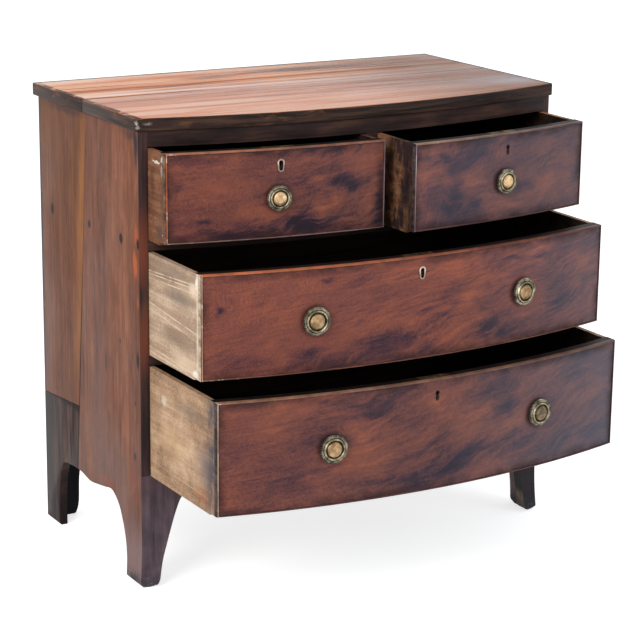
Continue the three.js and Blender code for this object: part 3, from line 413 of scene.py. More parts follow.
def polished_top():
    """Straight-grained mahogany, orange and dark by turns, with a painted sheen: a rosy haze over the front
    board, long pale streaks beside the joint and a pale bluish patch at the right front end.
    """
    finish = Finish("polished_top", gloss=0.03)
    place = finish.wander(finish.place, (1.3, 4, 1), (0, 0.022, 0))
    fine = finish.noise(place, (2.4, 120, 8), 8, 0.66)
    middling = finish.noise(place, (1.3, 30, 4), 5, 0.6, 0.3, move=(2.7, 0, 0))
    broad = finish.noise(place, (0.8, 10, 3), 3, 0.5, move=(4.3, 0, 0))
    ragged = finish.wander(finish.place, (9, 40, 20), (0.08, 0.014, 0), 4)
    darker = finish.pooled(
        ragged,
        (
            (-0.1, 0.345, 0.13, 0.022, 0.2),
            (0.1, 0.36, 0.2, 0.026, 0.24),
            (0.3, 0.392, 0.12, 0.016, 0.14),
            (0.34, 0.29, 0.18, 0.024, 0.2),
            (-0.41, 0.235, 0.06, 0.02, 0.06),
            (0.12, 0.03, 0.16, 0.024, 0.1),
            (0.28, 0.08, 0.2, 0.05, 0.12),
        ),
        upright=False,
    )
    lighter = finish.pooled(
        ragged,
        (
            (-0.36, 0.41, 0.16, 0.03, 0.08),
            (-0.38, 0.03, 0.1, 0.05, 0.12),
            (-0.22, -0.024, 0.26, 0.024, 0.14),
            (0.3, 0.42, 0.2, 0.02, 0.06),
        ),
        upright=False,
    )
    mixed = finish.times_plus(fine, 0.46, finish.times(middling, 0.5))
    mixed = finish.times_plus(broad, 0.16, mixed)
    mixed = finish.stronger(mixed, 0.56, 1.8)
    mixed = finish.minus(finish.plus(mixed, lighter), darker)
    finish.colour = finish.tones(
        mixed,
        (0.34, 78, 42, 28),
        (0.42, 150, 82, 46),
        (0.49, 214, 128, 76),
        (0.57, 238, 158, 112),
        (0.69, 250, 200, 168),
    )
    depth = finish.axis(finish.place, "Y")
    across = finish.axis(finish.place, "X")
    front_board = finish.span(depth, TOP_JOINT_Y + 0.003, TOP_JOINT_Y - 0.003)
    # Painted sheen: the front board paled to a rosy haze.
    rosy_sheen = finish.over(0.36, finish.colour, shade(204, 158, 152))
    finish.colour = finish.over(front_board, finish.colour, rosy_sheen)
    # Painted sheen: long pale milky streaks beside the joint between the boards.
    sheen_streaks = finish.noise(place, (1.1, 36, 2), 5, 0.6, move=(7.1, 2.2, 0))
    beside_joint = finish.span(finish.sum("ABSOLUTE", finish.minus(depth, 0.24)), 0.05, 0.004)
    amount = finish.times(finish.span(sheen_streaks, 0.38, 0.56), beside_joint)
    finish.lay(finish.times(amount, 0.9), 244, 226, 220)
    dull_end = finish.span(across, -0.02, 0.36, 0.0, 0.7)
    finish.lay(dull_end, 114, 66, 44)
    # Painted reflection: a pale bluish patch at the right front end of the top.
    bluish_sheen_patch = finish.patch(ragged, (0.4, 0.07, 0), (0.13, 0.08, 0), 1.0, 0.55)
    finish.lay(bluish_sheen_patch, 188, 184, 196)
    joint = finish.patch(place, (-0.43, TOP_JOINT_Y, 0), (0.62, 0.0013, 0), 0.7, 0.75)
    crack_line = finish.turned(place, turn=(0, 0, -3.5))
    crack = finish.patch(crack_line, (-0.36, 0.3385, 0), (0.13, 0.0014, 0), 0.7, 0.85)
    lines = finish.most(joint, crack)
    finish.lay(lines, 30, 18, 14)
    rubbed = finish.noise(finish.place, (40, 40, 9), 4, 0.6, move=(1, 8, 3))
    rim = finish.plus(finish.sum("ABSOLUTE", across), finish.times(rubbed, 0.01))
    rim = finish.span(rim, CASE_HALF_WIDTH - 0.0025, CASE_HALF_WIDTH + 0.0025)
    rim = finish.times(rim, finish.span(rubbed, 0.4, 0.5, 0.3, 0.95))
    finish.lay(rim, 46, 32, 30)
    far_rims = finish.most(finish.span(depth, 0.4235, 0.4275), finish.span(across, 0.424, 0.428))
    finish.lay(finish.times(far_rims, 0.95), 30, 22, 22)
    pores = finish.noise(place, (40, 900, 90), 2, 0.6)
    finish.lay(finish.span(pores, 0.58, 0.72, 0.0, 0.35), 84, 46, 30)
    height = finish.minus(finish.times(fine, 0.3), lines)
    finish.relief(height, 0.0005)
    gloss = finish.noise(finish.place, (5, 14, 3), 3)
    return finish.done(finish.span(gloss, 0.3, 0.7, 0.2, 0.34))


def dark_edge():
    """The edge of the top, dark with old polish and rubbed in places."""
    finish = Finish("dark_top_edge", 0.42, gloss=0.08)
    streaks = finish.noise(finish.place, (9, 9, 160), 6, 0.62)
    finish.colour = finish.tones(streaks, (0.36, 32, 25, 23), (0.52, 58, 43, 38), (0.7, 88, 62, 48))
    rubs = finish.noise(finish.place, (14, 14, 60), 5, 0.62, move=(3, 1, 5))
    finish.lay(finish.span(rubs, 0.58, 0.7, 0.0, 0.6), 112, 76, 54)
    height = finish.axis(finish.place, "Z")
    arris = finish.span(height, TOP_SURFACE_Z - 0.0024, TOP_SURFACE_Z - 0.0008, 0.0, 0.8)
    worn = finish.span(finish.noise(finish.place, (12, 12, 30), 5, 0.62, move=(4, 4, 1)), 0.46, 0.58)
    worn = finish.times(worn, finish.span(finish.axis(finish.place, "X"), 0.1, -0.2, 0.2, 1.0))
    finish.lay(finish.times(arris, worn), 166, 98, 58)
    chipped = finish.wander(finish.place, (260, 260, 260), (0.012, 0.012, 0.012), 4)
    finish.spots(
        chipped,
        shade(176, 164, 152),
        ((-0.433, -0.002, 0.8415), (0.0045, 0.006, 0.005), 0.7, 0.95),
        ((-0.431, -0.003, 0.8335), (0.005, 0.006, 0.003), 0.7, 0.8),
        ((-0.414, -0.006, 0.84), (0.012, 0.006, 0.003), 0.8, 0.5),
    )
    finish.relief(streaks, 0.0004)
    return finish.done()


def side_mahogany():
    """The case's sides: brown mahogany with its grain upright, faded and knocked about."""
    finish = Finish("side_mahogany", gloss=0.07)
    place = finish.wander(finish.place, (2, 4, 0.9), (0, 0.016, 0))
    fine = finish.noise(place, (8, 190, 3.2), 8, 0.7)
    broad = finish.noise(place, (3, 13, 0.8), 4, 0.55, move=(1.7, 0, 0))
    mottle = finish.noise(place, (20, 60, 16), 6, 0.66, 0.5, move=(6.1, 3, 0))
    mixed = finish.times_plus(broad, 0.3, finish.times(fine, 0.42))
    mixed = finish.times_plus(mottle, 0.34, mixed)
    finish.colour = finish.tones(
        finish.stronger(mixed, 0.53, 1.25),
        (0.38, 80, 48, 38),
        (0.48, 104, 65, 50),
        (0.58, 124, 78, 59),
        (0.7, 146, 95, 71),
    )
    height = finish.axis(finish.place, "Z")
    depth = finish.axis(finish.place, "Y")
    joint_y = finish.times_plus(height, SIDE_JOINT_LEAN, SIDE_JOINT_Y)
    behind = finish.minus(depth, joint_y)
    rear_board = finish.times(finish.span(behind, -0.001, 0.001), finish.span(height, 0.3, 0.8, 0.1, 0.4))
    finish.lay(rear_board, 100, 70, 48)
    glow = finish.noise(place, (3, 14, 2.2), 4, 0.6, move=(3.3, 5, 1))
    pale = finish.times(finish.span(behind, -0.004, 0.006), finish.span(behind, 0.045, 0.008))
    pale = finish.times(pale, finish.span(glow, 0.36, 0.6, 0.15, 0.75))
    pale = finish.times(pale, finish.span(height, 0.24, 0.45))
    finish.lay(pale, 166, 112, 70)
    grey = finish.noise(place, (4, 10, 4), 4, 0.6, move=(8, 2, 6))
    low = finish.times(finish.span(grey, 0.42, 0.62), finish.span(height, 0.5, 0.1, 0.05, 0.4))
    finish.lay(low, 112, 90, 84)
    ragged = finish.wander(finish.place, (60, 60, 30), (0, 0.012, 0.02))
    finish.side_spots(
        ragged,
        shade(40, 44, 54),
        (0.01, 0.8, 0.013, 0.06, 0.9, 0.9),
        (0.03, 0.818, 0.06, 0.014, 0.9, 0.5),
        (0.3, 0.82, 0.14, 0.012, 0.9, 0.5),
        (0.42, 0.5, 0.012, 0.5, 0.9, 0.9),
    )
    finish.side_spots(
        ragged,
        shade(178, 92, 56),
        (0.016, 0.592, 0.012, 0.032, 0.6, 0.85),
        (0.01, 0.645, 0.014, 0.026, 0.8, 0.6),
        (0.004, 0.525, 0.005, 0.012, 0.5, 0.4),
    )
    finish.side_spots(
        ragged,
        shade(138, 66, 44),
        (0.15, 0.156, 0.06, 0.012, 0.8, 0.6),
        (0.035, 0.19, 0.024, 0.06, 0.9, 0.45),
    )
    finish.side_spots(
        finish.wander(finish.place, (90, 90, 90), (0, 0.004, 0.006)),
        shade(30, 27, 30),
        (0.367, 0.624, 0.009, 0.014, 0.5, 0.85),
        (0.203, 0.627, 0.008, 0.01, 0.5, 0.9),
        (0.071, 0.627, 0.009, 0.012, 0.5, 0.95),
        (0.141, 0.384, 0.004, 0.024, 0.6, 0.7),
        (0.009, 0.421, 0.008, 0.02, 0.6, 0.9),
        (0.004, 0.63, 0.007, 0.012, 0.5, 0.9),
        (0.08, 0.44, 0.003, 0.006, 0.5, 0.7),
        (0.02, 0.34, 0.004, 0.006, 0.5, 0.7),
        (0.024, 0.24, 0.006, 0.009, 0.5, 0.8),
        (0.24, 0.36, 0.005, 0.06, 0.9, 0.5),
    )
    seam = finish.sum("ABSOLUTE", behind)
    wide = finish.span(height, 0.6, 0.4, 0.0007, 0.0022)
    line = finish.times(finish.sum("LESS_THAN", seam, wide), finish.span(height, 0.9, 0.4, 0.4, 0.8))
    finish.lay(line, 40, 28, 26)
    finish.lay(finish.span(height, 0.15, 0.05, 0.0, 0.75), 136, 114, 114)
    finish.floor_wear(height)
    pores = finish.noise(place, (300, 900, 30), 2, 0.6)
    finish.lay(finish.span(pores, 0.56, 0.7, 0.0, 0.4), 66, 44, 38)
    finish.relief(fine, 0.0006)
    gloss = finish.noise(finish.place, (5, 8, 4), 3)
    return finish.done(finish.span(gloss, 0.3, 0.7, 0.38, 0.55))


def side_front_edge():
    """The front edge of each side, dark above and rubbed red where hands and drawers pass."""
    finish = Finish("side_front_edge", 0.42, gloss=0.12)
    streaks = finish.noise(finish.place, (90, 30, 5), 6, 0.62)
    finish.colour = finish.tones(streaks, (0.38, 36, 27, 30), (0.52, 58, 41, 40), (0.68, 86, 56, 46))
    ragged = finish.wander(finish.place, (50, 50, 24), (0.01, 0.01, 0.03))
    finish.spots(
        ragged,
        shade(116, 62, 44),
        ((-0.422, 0.0, 0.62), (0.02, 0, 0.09), 0.8, 0.8),
        ((-0.422, 0.0, 0.46), (0.02, 0, 0.09), 0.8, 0.6),
    )
    return finish.done()


def dark_splice():
    """The pieced-in rear foot, stained almost black and shiny with handling."""
    finish = Finish("dark_splice", 0.42, gloss=0.07)
    place = finish.wander(finish.place, (3, 8, 3), (0, 0.03, 0))
    streaks = finish.noise(place, (12, 60, 5), 8, 0.64)
    finish.colour = finish.tones(streaks, (0.38, 36, 27, 27), (0.5, 62, 47, 44), (0.63, 92, 68, 58))
    depth = finish.axis(finish.place, "Y")
    finish.lay(finish.span(depth, 0.34, 0.41, 0.0, 0.6), 36, 30, 30)
    height = finish.axis(finish.place, "Z")
    finish.lay(finish.span(height, 0.252, 0.262, 0.0, 0.75), 28, 20, 18)
    finish.relief(streaks, 0.0006)
    return finish.done()


def flame_veneer(drawer, slice_y, lean, calm_x, smoky, painted_light_tints, painted_reflection, darks, brights):
    """Figured mahogany: bending strands and plumes over smoky clouds, calmer to the left, under painted light
    and shade that cools and darkens it towards the right, and a painted bluish reflection.
    """
    finish = Finish(drawer + "_veneer", gloss=0.11, ahead=DRAWERS_OUT[drawer])
    across = finish.axis(finish.place, "X")
    flat = finish.turned(finish.place, stretch=(1, 0, 1))
    cut = finish.turned(flat, move=(0, slice_y, 0))
    swirl = finish.wander(cut, (2.8, 1, 5), (0.16, 0, 0.12), 1, move=(2.2, 0, 6.1))
    curled = finish.wander(swirl, (12, 1, 15), (0.044 * smoky, 0, 0.042 * smoky), 3)
    slant = finish.turned(curled, turn=(0, lean, 0))
    level = finish.turned(finish.wander(cut, (4, 1, 8), (0, 0, 0.03), 2), turn=(0, lean * 0.35, 0))
    plain = finish.centred(level, (10, 1, 210), 8, 0.7)
    strands = finish.centred(slant, (12, 1, 130), 6, 0.66)
    plume = finish.centred(slant, (12, 1, 36), 6, 0.62, 0.5, move=(5.2, 0, 1.4))
    cloud = finish.centred(curled, (8, 1, 12), 5, 0.56, move=(1.1, 0, 3.3))
    grain = finish.centred(curled, (240, 1, 330), 4, 0.7)
    figure = finish.times(strands, 0.34 / smoky)
    figure = finish.times_plus(plume, 0.36 / smoky, figure)
    figure = finish.times_plus(cloud, 0.54 * smoky, figure)
    wild = finish.span(across, calm_x - 0.18, calm_x + 0.12, 0.32, 1.0)
    figure = finish.times_plus(figure, wild, 0.56)
    figure = finish.times_plus(plain, 0.24, figure)
    figure = finish.times_plus(grain, 0.3, figure)
    drifting = finish.wander(flat, (14, 1, 20), (0.07, 0, 0.044), 5, move=(0, slice_y, 0))
    streaky = finish.span(finish.plus(strands, plume), -0.14, 0.14, 1.3, 0.6)
    figure = finish.minus(figure, finish.times(finish.pooled(drifting, darks), streaky))
    bright = finish.times(finish.pooled(drifting, brights), finish.minus(1.9, streaky))
    figure = finish.plus(figure, bright)
    finish.colour = finish.tones(
        figure,
        (0.33, 42, 28, 38),
        (0.44, 74, 45, 52),
        (0.54, 113, 65, 58),
        (0.63, 141, 80, 63),
        (0.77, 176, 98, 68),
    )
    # Painted light and shade: tints across the bow, paler to the left where it faces the lamp and cooler and
    # darker to the right, with a painted bluish reflection over the right.
    portion = finish.times_plus(across, 0.5 / CASE_HALF_WIDTH, 0.5)
    finish.colour = finish.over(1.0, finish.colour, finish.steps(portion, *painted_light_tints), "MULTIPLY")
    finish.lay(finish.steps(portion, *painted_reflection), 116, 120, 134)
    low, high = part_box(drawer + "_front")
    ragged = finish.wander(flat, (70, 1, 70), (0.006, 0, 0.006), 3)
    # Painted shade: each keyhole's dark opening drawn wider than the hole, a dark ring round each plate
    # reaching further below it, and a painted shadow round each knob.
    keyhole_x, keyhole_z = KEYHOLE_X[drawer], high.z - KEYHOLE_DROP
    if drawer in PLATED:
        halo = finish.patch(flat, (keyhole_x, 0, keyhole_z - 0.005), (0.0098, 0, 0.0148), 0.5, 0.8)
        hole = finish.patch(flat, (keyhole_x, 0, keyhole_z - 0.005), (0.0048, 0, 0.0108), 0.2, 0.98)
        keyhole_and_knob_shade = finish.most(halo, hole)
    else:
        stem = finish.patch(flat, (keyhole_x, 0, keyhole_z - 0.0085), (0.0046, 0, 0.0068), 0.3, 0.97)
        eye = finish.patch(flat, (keyhole_x, 0, keyhole_z), (0.0053, 0, 0.0053), 0.3, 0.97)
        keyhole_and_knob_shade = finish.most(stem, eye)
    for node, x in KNOB_X.items():
        if node.startswith(drawer):
            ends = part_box(node)
            reach = (ends[1].z - ends[0].z) / 2 + 0.007
            ring = finish.patch(ragged, (x, 0, (ends[0].z + ends[1].z) / 2), (reach, 0, reach), 0.35, 0.55)
            keyhole_and_knob_shade = finish.most(keyhole_and_knob_shade, ring)
    rise = finish.axis(flat, "Z")
    inset = finish.least(finish.minus(across, low.x), finish.minus(high.x, across))
    inset_z = finish.least(finish.minus(rise, low.z), finish.minus(high.z, rise))
    # Darker and mottled towards the front's edges.
    blotches = finish.noise(ragged, (14, 1, 18), 4, 0.6, move=(4, slice_y, 1))
    margin = finish.span(finish.least(inset, inset_z), 0.022, 0.003)
    margin = finish.times(margin, finish.span(blotches, 0.36, 0.62, 0.1, 0.75))
    finish.lay(finish.most(margin, keyhole_and_knob_shade), 36, 24, 28)
    specks = finish.noise(flat, (420, 1, 420), 1, 0.5, move=(0, slice_y, 0))
    finish.lay(finish.span(specks, 0.8, 0.84, 0.0, 0.5), 190, 176, 164)
    finish.relief(strands, 0.0002)
    gloss = finish.noise(finish.place, (6, 3, 9), 3)
    return finish.done(finish.span(gloss, 0.3, 0.7, 0.32, 0.46))


def cockbead_wood(drawer, left, upper, lower, right, worn):
    """The thin bead round a drawer front, with painted light and shade along its edges, lit on the left and
    shaded on the right, and worn at its corners.
    """
    finish = Finish(drawer + "_bead", 0.42, gloss=0.15, ahead=DRAWERS_OUT[drawer])
    low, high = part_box(drawer + "_cockbead")
    across = finish.axis(finish.place, "X")
    height = finish.axis(finish.place, "Z")
    # Painted light and shade: the left edge lit brightest, the upper edge fading from its left end to its
    # right, and the lower and right edges shaded.
    finish.colour = finish.over(finish.span(across, low.x + 0.02, high.x - 0.02), upper[0], upper[1])
    finish.colour = finish.over(finish.sum("LESS_THAN", height, low.z + BEAD_HEIGHT), finish.colour, lower)
    finish.colour = finish.over(finish.sum("LESS_THAN", across, low.x + BEAD_WIDTH), finish.colour, left)
    finish.colour = finish.over(finish.sum("GREATER_THAN", across, high.x - BEAD_WIDTH), finish.colour, right)
    streaks = finish.noise(finish.place, (26, 26, 26), 6, 0.66)
    dimmed = finish.steps(streaks, (0.36, 0.5), (0.62, 1.0))
    finish.colour = finish.over(1.0, finish.colour, dimmed, "MULTIPLY")
    knocks = finish.noise(finish.place, (27, 27, 44), 6, 0.72, move=(9, 3, 1))
    near_left = finish.span(across, low.x + 0.14, low.x, -0.04, 0.07)
    knocks = finish.plus(knocks, near_left)
    finish.colour = finish.over(finish.span(knocks, 0.62, 0.68, 0.0, 0.85), finish.colour, worn)
    return finish.done()


def drawer_edge(name, dark, pale):
    """The outer edge of a bead, and the boards' edges beside it."""
    finish = Finish(name, 0.5, gloss=0.1)
    streaks = finish.noise(finish.place, (30, 30, 60), 6, 0.64)
    finish.colour = finish.steps(streaks, (0.4, dark), (0.62, pale))
    return finish.done()


def drawer_lining(drawer, tones, front_tone, lines, extra, brushed=(3, 30)):
    """Bare drawer sides: straight-grained wood, greyed, scratched and rubbed by use."""
    dull, plain, pale = tones
    finish = Finish(drawer + "_lining", 0.62, gloss=0.12, ahead=DRAWERS_OUT[drawer])
    place = finish.wander(finish.place, (2, 3, 6), (0, 0, 0.006))
    streaks = finish.noise(place, (40, 5, 120), 8, 0.66)
    banded = finish.noise(place, (9, *brushed), 5, 0.6, 0.3, move=(2, 6, 4))
    blotches = finish.noise(finish.place, (9, 14, 18), 6, 0.68, 0.5, move=(2, 6, 4))
    grit = finish.noise(finish.place, (300, 190, 300), 4, 0.66, move=(7, 1, 4))
    mixed = finish.times_plus(blotches, 0.24, finish.times(streaks, 0.24))
    mixed = finish.times_plus(banded, 0.3, mixed)
    mixed = finish.times_plus(grit, 0.24, mixed)
    finish.colour = finish.steps(mixed, (0.41, dull), (0.51, plain), (0.63, pale))
    scores = finish.noise(place, (6, 3, 420), 3, 0.6, move=(4, 1, 9))
    finish.colour = finish.over(finish.span(scores, 0.66, 0.72, 0.0, 0.45), finish.colour, pale)
    ragged = finish.wander(finish.place, (30, 30, 40), (0, 0.014, 0.014), 4)
    torn = finish.wander(finish.place, (150, 150, 150), (0, 0.011, 0.011), 4)
    for tone, spots in extra:
        small = max(spots[0][2:4]) < 0.02
        finish.side_spots(torn if small else ragged, tone, *spots)
    height = finish.axis(place, "Z")
    depth = finish.axis(finish.place, "Y")
    for near_z, far_z, strength in lines:
        run = finish.times_plus(depth, (far_z - near_z) / 0.18, near_z)
        off = finish.sum("ABSOLUTE", finish.minus(height, run))
        broken = finish.span(finish.noise(finish.place, (1, 30, 60), 3, 0.6), 0.4, 0.56, 0.3, strength)
        scored = finish.times(finish.span(off, 0.0016, 0.0005), broken)
        finish.colour = finish.over(scored, finish.colour, pale)
    smudge = finish.noise(finish.place, (40, 60, 30), 4, 0.6, move=(1, 7, 2))
    tone, reach, strength = front_tone
    near = finish.span(depth, reach, 0.006, 0.0, strength)
    near = finish.times(near, finish.span(smudge, 0.34, 0.6, 0.35, 1.0))
    finish.colour = finish.over(near, finish.colour, tone)
    finish.relief(streaks, 0.0004)
    return finish.done()


def drawer_inside_shade():
    """The inside of the drawers, painted dark as the shade within them."""
    finish = Finish("drawer_inside_shade", 0.75, gloss=0.1)
    streaks = finish.noise(finish.place, (3, 40, 40), 6, 0.62)
    finish.colour = finish.tones(streaks, (0.38, 26, 18, 15), (0.66, 56, 40, 31))
    finish.relief(streaks, 0.0004)
    return finish.done()


def dark_rail():
    """The rails between the drawers, dark with old polish."""
    finish = Finish("dark_rail", 0.44, gloss=0.1)
    streaks = finish.noise(finish.place, (5, 20, 90), 7, 0.64)
    broad = finish.noise(finish.place, (7, 7, 20), 4, 0.6, move=(3, 4, 5))
    mixed = finish.times_plus(broad, 0.5, finish.times(streaks, 0.5))
    finish.colour = finish.tones(mixed, (0.4, 32, 24, 24), (0.52, 54, 39, 36), (0.64, 88, 60, 49))
    finish.relief(streaks, 0.0004)
    return finish.done()


def apron_mahogany():
    """The apron and the front feet, greyed mahogany with its grain upright at the feet, and painted shade
    towards the right foot.
    """
    finish = Finish("apron_mahogany", 0.46, gloss=0.1)
    place = finish.wander(finish.place, (5, 2, 3), (0.02, 0, 0.0))
    streaks = finish.noise(place, (70, 6, 5), 8, 0.66)
    broad = finish.noise(place, (8, 2, 9), 4, 0.6, 0.4)
    mixed = finish.times_plus(broad, 0.55, finish.times(streaks, 0.5))
    finish.colour = finish.tones(mixed, (0.42, 58, 49, 56), (0.52, 87, 73, 80), (0.64, 114, 98, 98))
    height = finish.axis(finish.place, "Z")
    finish.lay(finish.span(height, 0.13, 0.2, 0.0, 0.4), 88, 64, 66)
    # Painted shade: the apron darkens towards its right end and right foot, which face away from the lamp.
    shady = finish.span(finish.axis(finish.place, "X"), 0.2, 0.36, 0.0, 0.94)
    finish.lay(shady, 27, 19, 28)
    finish.floor_wear(height)
    finish.relief(streaks, 0.0005)
    return finish.done()


def foot_flank():
    """The inner faces of the front feet, almost black, with the bare wood showing low down."""
    finish = Finish("foot_flank", 0.5, gloss=0.1)
    streaks = finish.noise(finish.place, (40, 60, 26), 6, 0.64)
    finish.colour = finish.tones(streaks, (0.4, 12, 9, 12), (0.54, 24, 16, 19), (0.68, 70, 28, 34))
    height = finish.axis(finish.place, "Z")
    bare = finish.times(finish.span(height, 0.052, 0.03), finish.span(streaks, 0.3, 0.5, 0.35, 0.9))
    finish.lay(bare, 150, 132, 110)
    finish.floor_wear(height)
    return finish.done()


def carcass_wood(name, tones, upright=3):
    """The plain boards of the back, the bottom and the dust boards."""
    dull, plain, pale = tones
    finish = Finish(name, 0.78, gloss=0.15)
    place = finish.wander(finish.place, (3, 3, 2), (0.02, 0.02, 0.0))
    streaks = finish.noise(place, (46, 46, upright), 8, 0.66)
    stains = finish.noise(finish.place, (4, 4, 5), 5, 0.6, 0.4, move=(3, 3, 8))
    mixed = finish.times_plus(stains, 0.5, finish.times(streaks, 0.55))
    finish.colour = finish.steps(mixed, (0.42, dull), (0.53, plain), (0.66, pale))
    finish.relief(streaks, 0.0008)
    return finish.done()


def aged_brass(name, dull, plain, bright, roughness):
    """Lacquered brass gone dull, brighter where it is rubbed."""
    finish = Finish(name, roughness, metallic=0.75, gloss=0.5)
    clouds = finish.noise(finish.place, (90, 90, 90), 5, 0.6)
    finish.colour = finish.steps(clouds, (0.38, dull), (0.5, plain), (0.64, bright))
    fine = finish.noise(finish.place, (900, 900, 900), 2, 0.6)
    finish.relief(fine, 0.00015)
    return finish.done()


def escutcheon_brass(drawer):
    """A keyhole plate's pale brass, duller towards its foot."""
    finish = Finish(drawer + "_escutcheon_brass", 0.45, metallic=0.6, gloss=0.5, ahead=DRAWERS_OUT[drawer])
    clouds = finish.noise(finish.place, (90, 90, 90), 5, 0.6)
    if drawer == "short_left":
        tones = (shade(124, 104, 90), shade(170, 146, 130), shade(216, 194, 178), shade(142, 114, 100))
    else:
        tones = (shade(160, 136, 118), shade(204, 180, 162), shade(238, 222, 208), shade(122, 102, 74))
    finish.colour = finish.steps(clouds, (0.38, tones[0]), (0.5, tones[1]), (0.64, tones[2]))
    height = finish.axis(finish.place, "Z")
    eye_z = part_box(drawer + "_front")[1].z - KEYHOLE_DROP
    low = finish.span(height, eye_z + 0.001, eye_z - 0.008, 0.0, 0.8)
    finish.colour = finish.over(low, finish.colour, tones[3])
    return finish.done()


def dull_iron():
    """Bolts, nuts, screws and nails, grey and pitted."""
    finish = Finish("dull_iron", 0.55, metallic=0.8, gloss=0.5)
    clouds = finish.noise(finish.place, (160, 160, 160), 5, 0.62)
    finish.colour = finish.tones(clouds, (0.38, 52, 42, 36), (0.64, 112, 106, 100))
    fine = finish.noise(finish.place, (700, 700, 700), 3, 0.6)
    finish.relief(fine, 0.0003)
    return finish.done()


def to_mode(name):
    """Switches between whole pieces and the mesh of the one in hand."""
    bpy.ops.object.mode_set(mode=name)


def alone(piece):
    """Selects one piece and nothing else."""
    bpy.ops.object.select_all(action="DESELECT")
    piece.select_set(True)
    bpy.context.view_layer.objects.active = piece


def copied(node):
    """A copy of one of the chest's parts, welded and cleaned, ready to be worked in its place."""
    piece = bpy.data.objects.new(node + "_made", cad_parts[node].data.copy())
    bpy.context.collection.objects.link(piece)
    alone(piece)
    bpy.ops.mesh.customdata_custom_splitnormals_clear()
    to_mode("EDIT")
    bpy.ops.mesh.select_all(action="SELECT")
    bpy.ops.mesh.remove_doubles(threshold=0.00001)
    bpy.ops.mesh.dissolve_limited(angle_limit=math.radians(0.3))
    to_mode("OBJECT")
    piece.data.materials.clear()
    return piece


def eased(piece, width, chosen, cuts=2):
    """Rounds the sharp edges whose two ends are both chosen."""
    alone(piece)
    to_mode("EDIT")
    bpy.ops.mesh.select_mode(type="EDGE")
    bpy.ops.mesh.select_all(action="DESELECT")
    bpy.ops.mesh.edges_select_sharp(sharpness=math.radians(30))
    to_mode("OBJECT")
    corners = piece.data.vertices
    for edge in piece.data.edges:
        ends = [corners[index].co for index in edge.vertices]
        edge.select = edge.select and all(chosen(end) for end in ends)
    to_mode("EDIT")
    bpy.ops.mesh.bevel(offset=width, segments=cuts, affect="EDGES")
    to_mode("OBJECT")


def sliced(piece, spot, facing, removed=True):
    """Cuts a piece along a plane, and takes away what lies on the side that the plane faces."""
    alone(piece)
    to_mode("EDIT")
    bpy.ops.mesh.select_mode(type="FACE")
    bpy.ops.mesh.select_all(action="SELECT")
    bpy.ops.mesh.bisect(plane_co=spot, plane_no=facing, use_fill=removed, clear_outer=removed)
    to_mode("OBJECT")


def picked(piece, test):
    """Opens a piece for editing with only those faces selected that pass a test."""
    alone(piece)
    to_mode("EDIT")
    bpy.ops.mesh.select_mode(type="FACE")
    bpy.ops.mesh.select_all(action="DESELECT")
    to_mode("OBJECT")
    for face in piece.data.polygons:
        face.select = test(face.center, face.normal)
    to_mode("EDIT")


def worn_foot(piece, reach, *cuts):
    """Wears the bottom of one foot round with a few plane cuts."""
    sliced(piece, (0, 0, WORN_HEIGHT), (0, 0, 1), removed=False)
    for spot, facing in cuts:
        picked(piece, lambda middle, normal: middle.z < WORN_HEIGHT - 0.0001 and reach(middle))
        bpy.ops.mesh.bisect(plane_co=spot, plane_no=facing, use_fill=True, clear_outer=True)
        to_mode("OBJECT")


def smoothed(piece, degrees=30):
    """Shades the gentle bends smooth and leaves the arrises crisp."""
    alone(piece)
    bpy.ops.object.shade_smooth_by_angle(angle=math.radians(degrees))


def painted(piece, *choices):
    """Gives the piece its finishes: each face takes the first whose test it passes or that has none."""
    piece.data.materials.clear()
    for material, _ in choices:
        piece.data.materials.append(material)
    for face in piece.data.polygons:
        for index, (_, test) in enumerate(choices):
            if test is None or test(face.center, face.normal):
                face.material_index = index
                break


def settled(piece, body, slot, *nodes):
    """Ties a piece to the part of the chest that it moves with and stands for."""
    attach(piece, body)
    if nodes:
        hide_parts(*nodes)


def dressed(node, body, slot, *choices, piece=None, degrees=30):
    """Paints, smooths and settles a copy of a part, or a piece that was made for it."""
    if piece is None:
        piece = copied(node)
    painted(piece, *choices)
    smoothed(piece, degrees)
    settled(piece, body, slot, node)


def joined(name, pieces):
    """Joins several pieces into one."""
    bpy.ops.object.select_all(action="DESELECT")
    for piece in pieces:
        piece.select_set(True)
    bpy.context.view_layer.objects.active = pieces[0]
    bpy.ops.object.join()
    pieces[0].name = name
    return pieces[0]


def placed_copy(pattern, place):
    """A copy of a piece with its own mesh, carried to a place."""
    piece = pattern.copy()
    piece.data = pattern.data.copy()
    bpy.context.collection.objects.link(piece)
    piece.data.transform(place)
    return piece


def on_bow(drawer, x, z):
    """The place on a drawer's front at an X and a height, turned so that its Z stands out from the front."""
    turn = math.asin(x / BOW_RADIUS)
    y = FRONT_CORNER_Y + BOW_CENTRE_Y - BOW_RADIUS * math.cos(turn) - DRAWERS_OUT[drawer]
    place = Matrix.Translation((x, y, z))
    return place @ Matrix.Rotation(turn, 4, "Z") @ Matrix.Rotation(math.pi / 2, 4, "X")


